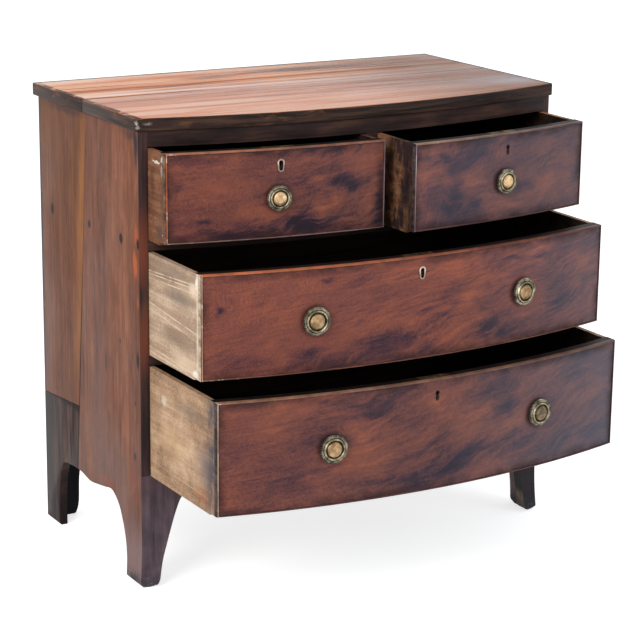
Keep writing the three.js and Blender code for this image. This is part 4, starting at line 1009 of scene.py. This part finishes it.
def make_top():
    """The two boards of the top, their arrises rubbed round and a chip gone from the front left corner."""
    surface = polished_top()
    edge = dark_edge()
    joint_y = FRONT_CORNER_Y + TOP_JOINT_Y
    left = -TOP_HALF_WIDTH
    front = FRONT_CORNER_Y - TOP_OVERHANG

    def whole(end):
        return abs(end.y - joint_y) > 0.002 and (end.x > -CASE_HALF_WIDTH or end.y > FRONT_CORNER_Y + 0.003)

    for node in ("top_front_board", "top_rear_board"):
        board = copied(node)
        if node == "top_front_board":
            sliced(board, (left + 0.0016, front, TOP_SURFACE_Z - 0.01), (-1, -0.75, 0.2))
            sliced(board, (left + 0.002, front + 0.001, TOP_SURFACE_Z - 0.004), (-0.8, -0.6, 1.1))
            sliced(board, (left + 0.0016, front + 0.0006, TOP_UNDERSIDE_Z + 0.002), (-0.9, -0.9, -0.9))
            sliced(board, (TOP_HALF_WIDTH, front + 0.0022, 0), (1, -1, 0))
        eased(board, 0.0024, lambda end: end.z > TOP_SURFACE_Z - 0.0001 and whole(end), 3)
        eased(board, 0.001, lambda end: end.z < TOP_UNDERSIDE_Z + 0.0001 and whole(end))
        upper_face = (surface, lambda middle, normal: normal.z > 0.8)
        dressed(node, "case", "top", upper_face, (edge, None), piece=board, degrees=40)


def outer_chamfers(side):
    """The two cuts that round the outer edge of a front foot at the floor."""
    return ((side * 0.4275, 0, 0), (side, 0, -1)), ((side * 0.4318, 0, 0), (side, 0, -0.4))


def make_sides():
    """The boards of the two sides, eased along the outer edges."""
    face = side_mahogany()
    edge = side_front_edge()
    splice = dark_splice()

    def outer_arris(end):
        return CASE_HALF_WIDTH - 0.001 < abs(end.x) < CASE_HALF_WIDTH + 0.0008 and 0.11 < end.z < 0.82

    def front_edge(middle, normal):
        return normal.y < -0.7 and middle.z > 0.21 and middle.y < FRONT_CORNER_Y + 0.05

    for node in ("left_side_front_board", "left_side_rear_board", "left_side_rear_splice", "right_side"):
        board = copied(node)
        eased(board, 0.0009, outer_arris)
        low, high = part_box(node)
        outer = -1 if low.x < 0 else 1
        spliced = node.endswith("splice")
        if node.endswith("front_board") or node == "right_side":
            worn_foot(
                board,
                lambda middle: middle.y < 0,
                *outer_chamfers(outer),
                ((outer * CASE_HALF_WIDTH, FRONT_CORNER_Y + 0.002, 0), (outer * 0.27, -1, -1)),
                ((0, -0.0165, 0), (0, 1, -1)),
                ((0, -0.0245, 0), (0, 0.4, -1)),
                ((0, -0.0115, 0), (0, 1, -0.4)),
            )
        if spliced or node == "right_side":
            face_x = abs(low.x if outer < 0 else high.x)
            worn_foot(
                board,
                lambda middle: middle.y > 0.2,
                ((outer * (face_x - 0.0036), 0, 0), (outer, 0, -1)),
                ((0, BACK_Y - 0.005, 0), (0, 1, -1)),
                ((0, BACK_Y - 0.009, 0), (0, 0.4, -1)),
            )
        if spliced:
            dressed(node, "case", "splice", (splice, None), piece=board)
        else:
            dressed(node, "case", "side", (edge, front_edge), (face, None), piece=board)


def make_apron():
    """The apron with its two front feet."""
    apron = copied("apron_with_front_feet")
    for side in (-1, 1):
        worn_foot(
            apron,
            lambda middle: middle.x * side > 0.39,
            ((side * 0.4105, 0, 0), (-side, 0, -1)),
            ((side * 0.416, 0, 0), (-side * 0.45, 0, -1)),
            ((side * 0.4058, 0, 0), (-side, 0, -0.4)),
            *outer_chamfers(side),
            ((side * 0.4345, FRONT_CORNER_Y + 0.0022, 0), (side * 0.27, -1, -1)),
            ((side * 0.4345, FRONT_CORNER_Y - 0.0014, 0), (side * 0.27, -1, -0.4)),
        )

    def inner_flank(middle, normal):
        return middle.z < 0.13 and abs(middle.x) > 0.37 and normal.x * middle.x < -0.3

    finishes = ((foot_flank(), inner_flank), (apron_mahogany(), None))
    dressed("apron_with_front_feet", "case", "front", *finishes, piece=apron)


def make_rails():
    """The rails and the upright between the drawers."""
    dark = dark_rail()
    for node in ("top_rail_and_kickers", "muntin", "upper_blade", "lower_blade"):
        dressed(node, "case", "rail", (dark, None))


def make_back(iron):
    """The back: boards with open joints, nailed along the top, the bottom and the sides."""
    wood = carcass_wood("back_boards", (shade(66, 50, 38), shade(104, 80, 58), shade(138, 108, 80)), 2.4)
    back = copied("backboard")
    low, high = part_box("backboard")
    for x in BACK_JOINTS_X:
        for side in (-0.0008, 0.0008):
            sliced(back, (x + side, 0, 0), (1, 0, 0), removed=False)

    def in_joint(middle, normal):
        return normal.y > 0.9 and any(abs(middle.x - x) < 0.0006 for x in BACK_JOINTS_X)

    picked(back, in_joint)
    bpy.ops.mesh.extrude_region_move(TRANSFORM_OT_translate={"value": (0, -0.003, 0)})
    to_mode("OBJECT")
    dressed("backboard", "case", "carcass", (wood, None), piece=back)
    head = nail_head(iron)
    face = Matrix.Rotation(-math.pi / 2, 4, "X")
    rows = (low.z + 0.012, high.z - 0.012)
    spots = [(x, z) for z in rows for x in NAILS_X]
    spots += [(x, z) for x in (low.x + 0.006, high.x - 0.006) for z in NAILS_Z]
    nails = [placed_copy(head, Matrix.Translation((x, high.y, z)) @ face) for x, z in spots]
    bpy.data.objects.remove(head)
    settled(joined("back_nails", nails), "case", "iron")


def nail_head(iron):
    """A flat nail head with a rounded edge, standing on the floor and let into it a little."""
    bpy.ops.object.select_all(action="DESELECT")
    bpy.ops.mesh.primitive_cylinder_add(
        vertices=12, radius=NAIL_RADIUS, depth=NAIL_THICKNESS, location=(0, 0, 0.0002)
    )
    head = bpy.context.active_object
    bpy.ops.object.transform_apply(location=True, rotation=True, scale=True)
    eased(head, 0.0003, lambda end: end.z > 0)
    painted(head, (iron, None))
    smoothed(head, 40)
    return head


def screw_head(iron):
    """A slotted screw head, let in like a nail's."""
    head = nail_head(iron)
    for x in (-0.0004, 0.0004):
        sliced(head, (x, 0, 0), (1, 0, 0), removed=False)
    picked(head, lambda middle, normal: abs(middle.x) < 0.0003 and normal.z > 0.9)
    bpy.ops.mesh.extrude_region_move(TRANSFORM_OT_translate={"value": (0, 0, -0.0003)})
    to_mode("OBJECT")
    smoothed(head, 40)
    return head


def finish_carcass():
    """Gives the boards that stay as they are their wood, and trims the blocks and brackets of the feet."""
    wood = carcass_wood("carcass_wood", (shade(44, 34, 28), shade(72, 55, 42), shade(102, 80, 60)))
    dark = carcass_wood("bracket_wood", (shade(15, 15, 19), shade(26, 26, 31), shade(46, 42, 43)))
    for node in ("centre_guide", "upper_dustboard", "lower_dustboard", "bottom_board"):
        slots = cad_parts[node].data.materials
        slots.clear()
        slots.append(wood)
    for word, sign in (("left", -1), ("right", 1)):
        node = "front_" + word + "_foot_block"
        block = copied(node)
        sliced(block, (sign * BLOCK_CUT_X, 0, 0.15), (-sign * 0.95, 0, -0.3))
        sliced(block, (sign * BLOCK_CUT_X, 0, 0.12), (-sign * 0.7, 0, -0.7))
        dressed(node, "case", "carcass", (dark, None), piece=block)
        node = "rear_" + word + "_foot_bracket"
        bracket = copied(node)
        sliced(bracket, (0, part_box(node)[0].y + 0.003, 0), (0, -1, -1))
        dressed(node, "case", "carcass", (dark, None), piece=bracket)


# The veneer of each front: its slice, lean, calm end, tints of painted light and shade, a painted bluish
# reflection, dark clouds and bright flames
FIGURES = {
    "short_left": dict(
        slice_y=0.7, lean=14, calm_x=-0.2, smoky=1.2,
        painted_light_tints=((0.0, (0.94, 0.92, 0.9)), (0.3, (0.88, 0.9, 0.94)), (0.5, (0.8, 0.86, 0.96))),
        painted_reflection=((0.0, 0.0), (0.5, 0.05)),
        darks=(
            (-0.088, 0.732, 0.05, 0.024, 0.2),
            (-0.02, 0.69, 0.03, 0.08, 0.2),
            (-0.12, 0.66, 0.2, 0.036, 0.18),
            (-0.2, 0.672, 0.1, 0.03, 0.15),
            (-0.17, 0.79, 0.16, 0.016, 0.1),
            (-0.4, 0.74, 0.012, 0.02, 0.1),
            (-0.35, 0.677, 0.022, 0.008, 0.12),
            (-0.25, 0.712, 0.03, 0.03, 0.09),
            (-0.3, 0.655, 0.14, 0.016, 0.12),
            (-0.37, 0.785, 0.08, 0.016, 0.08),
        ),
        brights=(
            (-0.16, 0.745, 0.05, 0.02, 0.07),
            (-0.135, 0.697, 0.05, 0.03, 0.08),
            (-0.045, 0.71, 0.022, 0.016, 0.1),
            (-0.33, 0.73, 0.06, 0.03, 0.03),
        ),
    ),
    "short_right": dict(
        slice_y=2.9, lean=24, calm_x=-0.3, smoky=1.9,
        painted_light_tints=((0.5, (0.96, 0.96, 0.98)), (1.0, (0.74, 0.8, 0.86))),
        painted_reflection=((0.5, 0.14), (1.0, 0.3)),
        darks=(
            (0.06, 0.76, 0.05, 0.024, 0.14),
            (0.095, 0.68, 0.024, 0.04, 0.16),
            (0.16, 0.69, 0.05, 0.03, 0.1),
            (0.32, 0.741, 0.06, 0.034, 0.14),
            (0.26, 0.7, 0.05, 0.02, 0.08),
        ),
        brights=(
            (0.133, 0.725, 0.035, 0.03, 0.08),
            (0.052, 0.67, 0.035, 0.02, 0.06),
            (0.374, 0.69, 0.03, 0.035, 0.1),
            (0.19, 0.765, 0.035, 0.018, 0.08),
            (0.22, 0.66, 0.06, 0.012, 0.06),
        ),
    ),
    "upper_long": dict(
        slice_y=5.1, lean=18, calm_x=-0.06, smoky=1.1,
        painted_light_tints=((0.0, (1.14, 1.1, 1.02)), (0.5, (1.04, 0.99, 0.98)), (1.0, (0.94, 0.97, 1.0))),
        painted_reflection=((0.0, 0.0), (0.6, 0.05), (1.0, 0.34)),
        darks=(
            (0.02, 0.512, 0.06, 0.04, 0.17),
            (-0.05, 0.478, 0.12, 0.03, 0.14),
            (-0.36, 0.47, 0.04, 0.03, 0.07),
            (-0.2, 0.45, 0.3, 0.022, 0.07),
            (0.12, 0.45, 0.2, 0.02, 0.07),
            (0.13, 0.467, 0.12, 0.024, 0.12),
            (0.31, 0.496, 0.07, 0.03, 0.1),
            (0.2, 0.594, 0.06, 0.009, 0.14),
            (0.25, 0.588, 0.03, 0.007, 0.14),
            (-0.388, 0.551, 0.012, 0.011, 0.16),
            (-0.194, 0.594, 0.03, 0.008, 0.1),
            (-0.225, 0.471, 0.06, 0.013, 0.12),
            (0.395, 0.53, 0.014, 0.07, 0.08),
        ),
        brights=(
            (0.098, 0.525, 0.04, 0.035, 0.07),
            (0.337, 0.565, 0.06, 0.03, 0.06),
            (-0.047, 0.592, 0.07, 0.02, 0.05),
            (0.241, 0.602, 0.022, 0.008, 0.16),
            (-0.3, 0.54, 0.1, 0.05, 0.03),
        ),
    ),
    "lower_long": dict(
        slice_y=8.6, lean=18, calm_x=-0.22, smoky=1.15,
        painted_light_tints=((0.0, (0.97, 0.95, 0.9)), (0.5, (0.74, 0.79, 0.86)), (1.0, (0.72, 0.84, 0.96))),
        painted_reflection=((0.0, 0.02), (0.5, 0.08), (1.0, 0.44)),
        darks=(
            (-0.215, 0.394, 0.04, 0.008, 0.1),
            (-0.28, 0.265, 0.07, 0.04, 0.07),
            (-0.08, 0.355, 0.08, 0.024, 0.05),
            (0.287, 0.25, 0.09, 0.036, 0.08),
            (0.144, 0.345, 0.05, 0.02, 0.08),
            (-0.04, 0.242, 0.16, 0.024, 0.08),
            (0.12, 0.27, 0.3, 0.05, 0.09),
            (0.0, 0.37, 0.26, 0.02, 0.04),
            (0.39, 0.33, 0.016, 0.07, 0.06),
        ),
        brights=(
            (-0.156, 0.328, 0.04, 0.02, 0.05),
            (0.152, 0.3, 0.04, 0.018, 0.08),
            (0.322, 0.33, 0.05, 0.05, 0.07),
            (-0.33, 0.35, 0.06, 0.03, 0.03),
        ),
    ),
}


# The outer faces of the drawer sides, each drawer's as it has worn
LININGS = {
    "short_left": dict(
        tones=(shade(66, 42, 32), shade(108, 70, 50), shade(152, 106, 76)),
        front_tone=(shade(92, 66, 54), 0.02, 0.8),
        lines=(),
        extra=(
            (
                shade(232, 224, 214),
                (
                    (0.006, 0.786, 0.006, 0.007, 0.2, 1.0),
                    (0.03, 0.78, 0.018, 0.003, 0.4, 0.75),
                    (0.009, 0.766, 0.004, 0.013, 0.4, 0.7),
                    (0.008, 0.657, 0.002, 0.002, 0.3, 0.9),
                ),
            ),
            (shade(60, 44, 40), ((0.045, 0.74, 0.012, 0.05, 0.9, 0.5),)),
            (shade(60, 50, 50), ((0.02, 0.662, 0.02, 0.02, 0.9, 0.6),)),
        ),
    ),
    "short_right": dict(
        tones=(shade(94, 62, 46), shade(156, 108, 76), shade(204, 152, 104)),
        front_tone=(shade(34, 26, 31), 0.075, 0.95),
        lines=(),
        extra=(
            (shade(44, 32, 33), ((-0.045, 0.72, 0.04, 0.2, 0.9, 0.7),)),
            (
                shade(170, 160, 150),
                (
                    (0.014, 0.748, 0.002, 0.003, 0.3, 0.8),
                    (0.02, 0.664, 0.002, 0.003, 0.3, 0.8),
                    (0.008, 0.672, 0.002, 0.002, 0.3, 0.7),
                ),
            ),
        ),
    ),
    "upper_long": dict(
        tones=(shade(132, 108, 90), shade(176, 148, 124), shade(222, 198, 172)),
        front_tone=(shade(226, 208, 188), 0.014, 0.8),
        lines=(
            (0.596, 0.585, 0.9),
            (0.59, 0.58, 0.9),
            (0.581, 0.572, 0.8),
            (0.512, 0.527, 0.9),
            (0.5, 0.516, 0.7),
            (0.44, 0.448, 0.9),
            (0.432, 0.44, 0.9),
        ),
        extra=(
            (shade(122, 106, 94), ((0.1, 0.6, 0.12, 0.02, 0.9, 0.5),)),
            (shade(126, 112, 100), ((0.07, 0.56, 0.08, 0.022, 0.9, 0.75),)),
            (shade(126, 106, 90), ((0.08, 0.487, 0.09, 0.022, 0.9, 0.7),)),
            (shade(232, 206, 176), ((0.05, 0.454, 0.07, 0.02, 0.9, 0.6),)),
            (shade(238, 214, 184), ((0.02, 0.585, 0.03, 0.02, 0.9, 0.8),)),
            (shade(246, 238, 228), ((0.006, 0.6, 0.012, 0.016, 0.7, 1.0),)),
            (shade(246, 236, 222), ((0.014, 0.442, 0.018, 0.008, 0.7, 0.9),)),
        ),
    ),
    "lower_long": dict(
        tones=(shade(116, 88, 68), shade(170, 136, 108), shade(210, 180, 148)),
        front_tone=(shade(74, 70, 76), 0.052, 0.95),
        lines=((0.235, 0.24, 0.4),),
        extra=(
            (shade(216, 206, 190), ((0.19, 0.364, 0.014, 0.012, 0.7, 0.7),)),
            (shade(122, 104, 92), ((0.09, 0.37, 0.09, 0.022, 0.9, 0.6),)),
            (shade(168, 106, 66), ((0.035, 0.236, 0.06, 0.024, 0.9, 0.6),)),
            (shade(202, 166, 128), ((0.16, 0.3, 0.08, 0.05, 0.9, 0.5),)),
            (shade(126, 112, 108), ((0.035, 0.29, 0.05, 0.06, 1.0, 0.7),)),
        ),
        brushed=(14, 12),
    ),
}


# The painted light and shade tones of each drawer's bead along its left, upper, lower and right edges, and
# where it is worn
BEAD_LIGHT_SHADE_AND_WEAR = {
    "short_left": dict(
        left=shade(206, 112, 66),
        upper=(shade(168, 110, 82), shade(158, 104, 84)),
        lower=shade(150, 124, 118),
        right=shade(156, 132, 140),
        worn=shade(214, 186, 166),
    ),
    "short_right": dict(
        left=shade(166, 142, 148),
        upper=(shade(160, 122, 100), shade(104, 76, 74)),
        lower=shade(104, 78, 82),
        right=shade(92, 76, 84),
        worn=shade(182, 168, 170),
    ),
    "upper_long": dict(
        left=shade(212, 166, 134),
        upper=(shade(196, 110, 74), shade(104, 62, 54)),
        lower=shade(138, 92, 76),
        right=shade(62, 44, 44),
        worn=shade(238, 222, 206),
    ),
    "lower_long": dict(
        left=shade(196, 166, 138),
        upper=(shade(150, 108, 86), shade(116, 84, 74)),
        lower=shade(98, 72, 74),
        right=shade(66, 54, 58),
        worn=shade(198, 186, 180),
    ),
}


def make_drawer_boxes():
    """The fronts, beads, sides, backs and bottoms of the four drawers."""
    veneers = {name: flame_veneer(name, **figure) for name, figure in FIGURES.items()}
    linings = {name: drawer_lining(name, **wear) for name, wear in LININGS.items()}
    bead_woods = {name: cockbead_wood(name, **tones) for name, tones in BEAD_LIGHT_SHADE_AND_WEAR.items()}
    # The drawers' insides take a dark finish that stands for the shade within them.
    inside = drawer_inside_shade()
    dark_edges = drawer_edge("dark_drawer_edge", shade(34, 29, 32), shade(84, 74, 72))
    brown_edges = drawer_edge("brown_drawer_edge", shade(66, 44, 38), shade(128, 92, 72))
    worn_edges = drawer_edge("worn_drawer_edge", shade(138, 112, 94), shade(208, 186, 164))
    flank = drawer_edge("bead_flank", shade(58, 34, 32), shade(98, 60, 50))
    top_edge = drawer_edge("drawer_top_edge", shade(10, 8, 7), shade(26, 19, 16))
    for name in DRAWERS_OUT:
        body = name + "_drawer"
        lining = linings[name]
        low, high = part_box(name + "_front")

        def at_end(middle, normal):
            return abs(normal.x) > 0.6 and min(middle.x - low.x, high.x - middle.x) < 0.001

        def outward(middle, normal):
            across = normal.x if middle.x > (low.x + high.x) / 2 else -normal.x
            return across > 0.9 or normal.z < -0.9

        def crest(middle, normal):
            return normal.y < -0.85 or (middle.z > high.z - BEAD_HEIGHT and normal.z > 0.3)

        face = (veneers[name], lambda middle, normal: normal.y < -0.3)
        upper_edge = (top_edge, lambda middle, normal: normal.z > 0.9)
        dressed(name + "_front", body, "front", face, (lining, at_end), upper_edge, (inside, None))
        outer = ({"short_left": brown_edges, "upper_long": worn_edges}.get(name, dark_edges), outward)
        bead = (outer, (bead_woods[name], crest), (flank, None))
        dressed(name + "_cockbead", body, "bead", *bead, degrees=62)
        for word, sign in (("left", -1), ("right", 1)):
            inner = (inside, lambda middle, normal: normal.x * sign < -0.8)
            dressed(name + "_" + word + "_side", body, "lining", inner, (lining, None))
        rear = (lining, lambda middle, normal: normal.y > 0.5)
        for word in ("back", "bottom"):
            dressed(name + "_" + word, body, "lining", rear, (inside, None))


# A knob's section from its back to its crown: shares of its radius and of its projection
KNOB_SECTION_SHARES = (
    (0.44, 0.02),
    (0.44, 0.1),
    (0.41, 0.16),
    (0.5, 0.215),
    (0.8, 0.245),
    (0.9, 0.27),
    (0.925, 0.33),
    (0.925, 0.56),
    (0.9, 0.62),
    (0.85, 0.655),
    (0.815, 0.66),
    (0.8, 0.6),
    (0.785, 0.6),
    (0.77, 0.66),
    (0.755, 0.76),
    (0.73, 0.815),
    (0.69, 0.83),
    (0.655, 0.8),
    (0.635, 0.72),
    (0.62, 0.6),
    (0.605, 0.55),
    (0.555, 0.55),
    (0.54, 0.6),
    (0.525, 0.72),
    (0.5, 0.8),
    (0.43, 0.875),
    (0.32, 0.94),
    (0.18, 0.985),
    (0.06, 1.0),
)


def drawn_up(rings, facets):
    """A solid turned about Z: a disc drawn up through rings, each a radius and a height."""
    bpy.ops.object.select_all(action="DESELECT")
    first_radius, first_up = rings[0]
    bpy.ops.mesh.primitive_circle_add(
        vertices=facets, radius=first_radius, fill_type="NGON", location=(0, 0, first_up)
    )
    solid = bpy.context.active_object
    bpy.ops.object.transform_apply(location=True, rotation=True, scale=True)
    to_mode("EDIT")
    bpy.ops.mesh.select_all(action="SELECT")
    for (last_radius, last_up), (radius, up) in zip(rings, rings[1:]):
        bpy.ops.mesh.extrude_region_move(TRANSFORM_OT_translate={"value": (0, 0, up - last_up)})
        scale = radius / last_radius
        bpy.ops.transform.resize(value=(scale, scale, 1), center_override=(0, 0, up))
    bpy.ops.mesh.select_all(action="SELECT")
    bpy.ops.mesh.normals_make_consistent(inside=False)
    to_mode("OBJECT")
    return solid


def turned_knob(radius, brasses, dome, iron):
    """A knob with its milled rim, its spindle through the front, and the washer and nut inside."""
    rim, ring, tarnish = brasses
    shares = ((0.44, 0.0),) + KNOB_SECTION_SHARES
    knob = drawn_up([(out * radius, up * KNOB_PROJECTION) for out, up in shares], 72)

    def out_and_up(middle):
        return math.hypot(middle.x, middle.y) / radius, middle.z / KNOB_PROJECTION

    def in_groove(middle, normal):
        out, up = out_and_up(middle)
        inner = 0.545 < out < 0.612 and up < 0.6
        outer = 0.78 < out < 0.812 and up < 0.65
        return inner or outer or out > 0.88 or up < 0.26

    painted(
        knob,
        (tarnish, in_groove),
        (dome, lambda middle, normal: out_and_up(middle)[0] < 0.535),
        (ring, lambda middle, normal: out_and_up(middle)[0] < 0.775),
        (rim, None),
    )
    smoothed(knob, 50)
    bpy.ops.object.select_all(action="DESELECT")
    bpy.ops.mesh.primitive_uv_sphere_add(
        segments=8, ring_count=6, radius=1, location=(0.918 * radius, 0, 0.46 * KNOB_PROJECTION)
    )
    strand = bpy.context.active_object
    strand.scale = (0.082 * radius, 0.042 * radius, 0.24 * KNOB_PROJECTION)
    strand.rotation_euler = (math.radians(14), 0, math.radians(10))
    bpy.ops.object.transform_apply(location=True, rotation=True, scale=True)
    painted(strand, (rim, None))
    smoothed(strand, 60)
    turns = [Matrix.Rotation(2 * math.pi * count / RIM_STRANDS, 4, "Z") for count in range(1, RIM_STRANDS)]
    pieces = [knob, strand] + [placed_copy(strand, turn) for turn in turns]
    inner = -FRONT_THICKNESS
    spindle = drawn_up(((SPINDLE_RADIUS, inner - SPINDLE_TAIL), (SPINDLE_RADIUS, 0.0002)), 20)
    eased(spindle, 0.0006, lambda end: end.z < inner)
    washer = drawn_up(((WASHER_RADIUS, inner - WASHER_REACH), (WASHER_RADIUS, inner - 0.0001)), 28)
    nut = drawn_up(((NUT_RADIUS, inner - NUT_REACH), (NUT_RADIUS, inner - WASHER_REACH)), 4)
    eased(nut, 0.0007, lambda end: True)
    for part in (spindle, washer, nut):
        painted(part, (iron, None))
        smoothed(part, 35)
    return joined("knob", pieces + [spindle, washer, nut])


def make_knobs(iron):
    """The six knobs, set square to the bow: alike, but for how far their domes have dulled."""
    brasses = (
        aged_brass("knob_rim_brass", shade(72, 67, 56), shade(124, 118, 98), shade(178, 170, 150), 0.42),
        aged_brass("knob_ring_brass", shade(96, 88, 70), shade(146, 136, 110), shade(200, 190, 164), 0.38),
        aged_brass("knob_groove_tarnish", shade(20, 16, 12), shade(38, 31, 23), shade(70, 58, 42), 0.6),
    )
    bright = aged_brass(
        "bright_dome_brass", shade(176, 138, 96), shade(206, 172, 128), shade(234, 212, 176), 0.45
    )
    plain = aged_brass("plain_dome_brass", shade(120, 96, 66), shade(158, 128, 92), shade(190, 158, 120), 0.5)
    dull = aged_brass("dull_dome_brass", shade(84, 70, 54), shade(118, 100, 76), shade(150, 130, 102), 0.5)
    domes = {"short_left_knob": bright, "short_right_knob": bright, "lower_long_right_knob": dull}
    patterns = {}
    for node, x in KNOB_X.items():
        drawer = next(name for name in DRAWERS_OUT if node.startswith(name))
        radius = SHORT_KNOB_RADIUS if drawer.startswith("short") else LONG_KNOB_RADIUS
        dome = domes.get(node, plain)
        kind = (radius, dome.name)
        if kind not in patterns:
            patterns[kind] = turned_knob(radius, brasses, dome, iron)
        low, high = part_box(node)
        knob = placed_copy(patterns[kind], on_bow(drawer, x, (low.z + high.z) / 2))
        knob.name = node + "_made"
        settled(knob, drawer + "_drawer", "brass", node)
    for knob in patterns.values():
        bpy.data.objects.remove(knob)


def keyhole_plate(border):
    """A thin brass plate in the shape of its keyhole, round above and narrower at the foot."""
    bpy.ops.object.select_all(action="DESELECT")
    bpy.ops.mesh.primitive_circle_add(
        vertices=36, radius=PLATE_HEAD_RADIUS, fill_type="NGON", location=(0, 0, -PLATE_THICKNESS / 2)
    )
    plate = bpy.context.active_object
    bpy.ops.object.transform_apply(location=True, rotation=True, scale=True)
    to_mode("EDIT")
    bpy.ops.mesh.select_mode(type="VERT")
    bpy.ops.mesh.select_all(action="DESELECT")
    to_mode("OBJECT")
    for corner in plate.data.vertices:
        corner.select = corner.co.y < -0.0005
    to_mode("EDIT")
    bpy.ops.transform.resize(value=(PLATE_FOOT_SHARE, PLATE_FOOT_SHARE, 1), center_override=(0, 0, 0))
    bpy.ops.transform.translate(value=(0, -PLATE_FOOT_DROP, 0))
    bpy.ops.mesh.select_mode(type="FACE")
    bpy.ops.mesh.select_all(action="SELECT")
    bpy.ops.mesh.inset(thickness=border)
    bpy.ops.mesh.delete(type="FACE")
    bpy.ops.mesh.select_all(action="SELECT")
    bpy.ops.mesh.extrude_region_move(TRANSFORM_OT_translate={"value": (0, 0, PLATE_THICKNESS)})
    bpy.ops.mesh.select_all(action="SELECT")
    bpy.ops.mesh.normals_make_consistent(inside=False)
    to_mode("OBJECT")
    return plate


def make_locks(iron):
    """The escutcheons, lock cases with their screws, and bolts."""
    lock_brass = aged_brass("lock_brass", shade(46, 36, 24), shade(82, 66, 42), shade(128, 106, 70), 0.45)
    screw = screw_head(iron)
    inward = Matrix.Rotation(math.pi, 4, "X")
    for name in DRAWERS_OUT:
        dressed(name + "_lock_case", name + "_drawer", "brass", (lock_brass, None))
        dressed(name + "_lock_bolt", name + "_lock_bolt", "iron", (iron, None))
        place = on_bow(name, KEYHOLE_X[name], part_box(name + "_front")[1].z)
        spots = [(x, y, -FRONT_THICKNESS) for y in LOCK_SCREWS_UP for x in LOCK_SCREWS_X]
        screws = [placed_copy(screw, place @ Matrix.Translation(spot) @ inward) for spot in spots]
        settled(joined(name + "_lock_screws", screws), name + "_drawer", "iron")
    bpy.data.objects.remove(screw)
    for name, border in PLATED.items():
        plate = keyhole_plate(border)
        plate.data.transform(on_bow(name, KEYHOLE_X[name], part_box(name + "_front")[1].z - KEYHOLE_DROP))
        plate.name = name + "_escutcheon_made"
        brass = (escutcheon_brass(name), None)
        dressed(name + "_escutcheon", name + "_drawer", "brass", brass, piece=plate)


bpy.context.scene.view_settings.view_transform = "Standard"
place_camera()
light_studio()
lay_floor()
black_iron = dull_iron()
make_top()
make_sides()
make_apron()
make_rails()
make_back(black_iron)
finish_carcass()
make_drawer_boxes()
make_knobs(black_iron)
make_locks(black_iron)
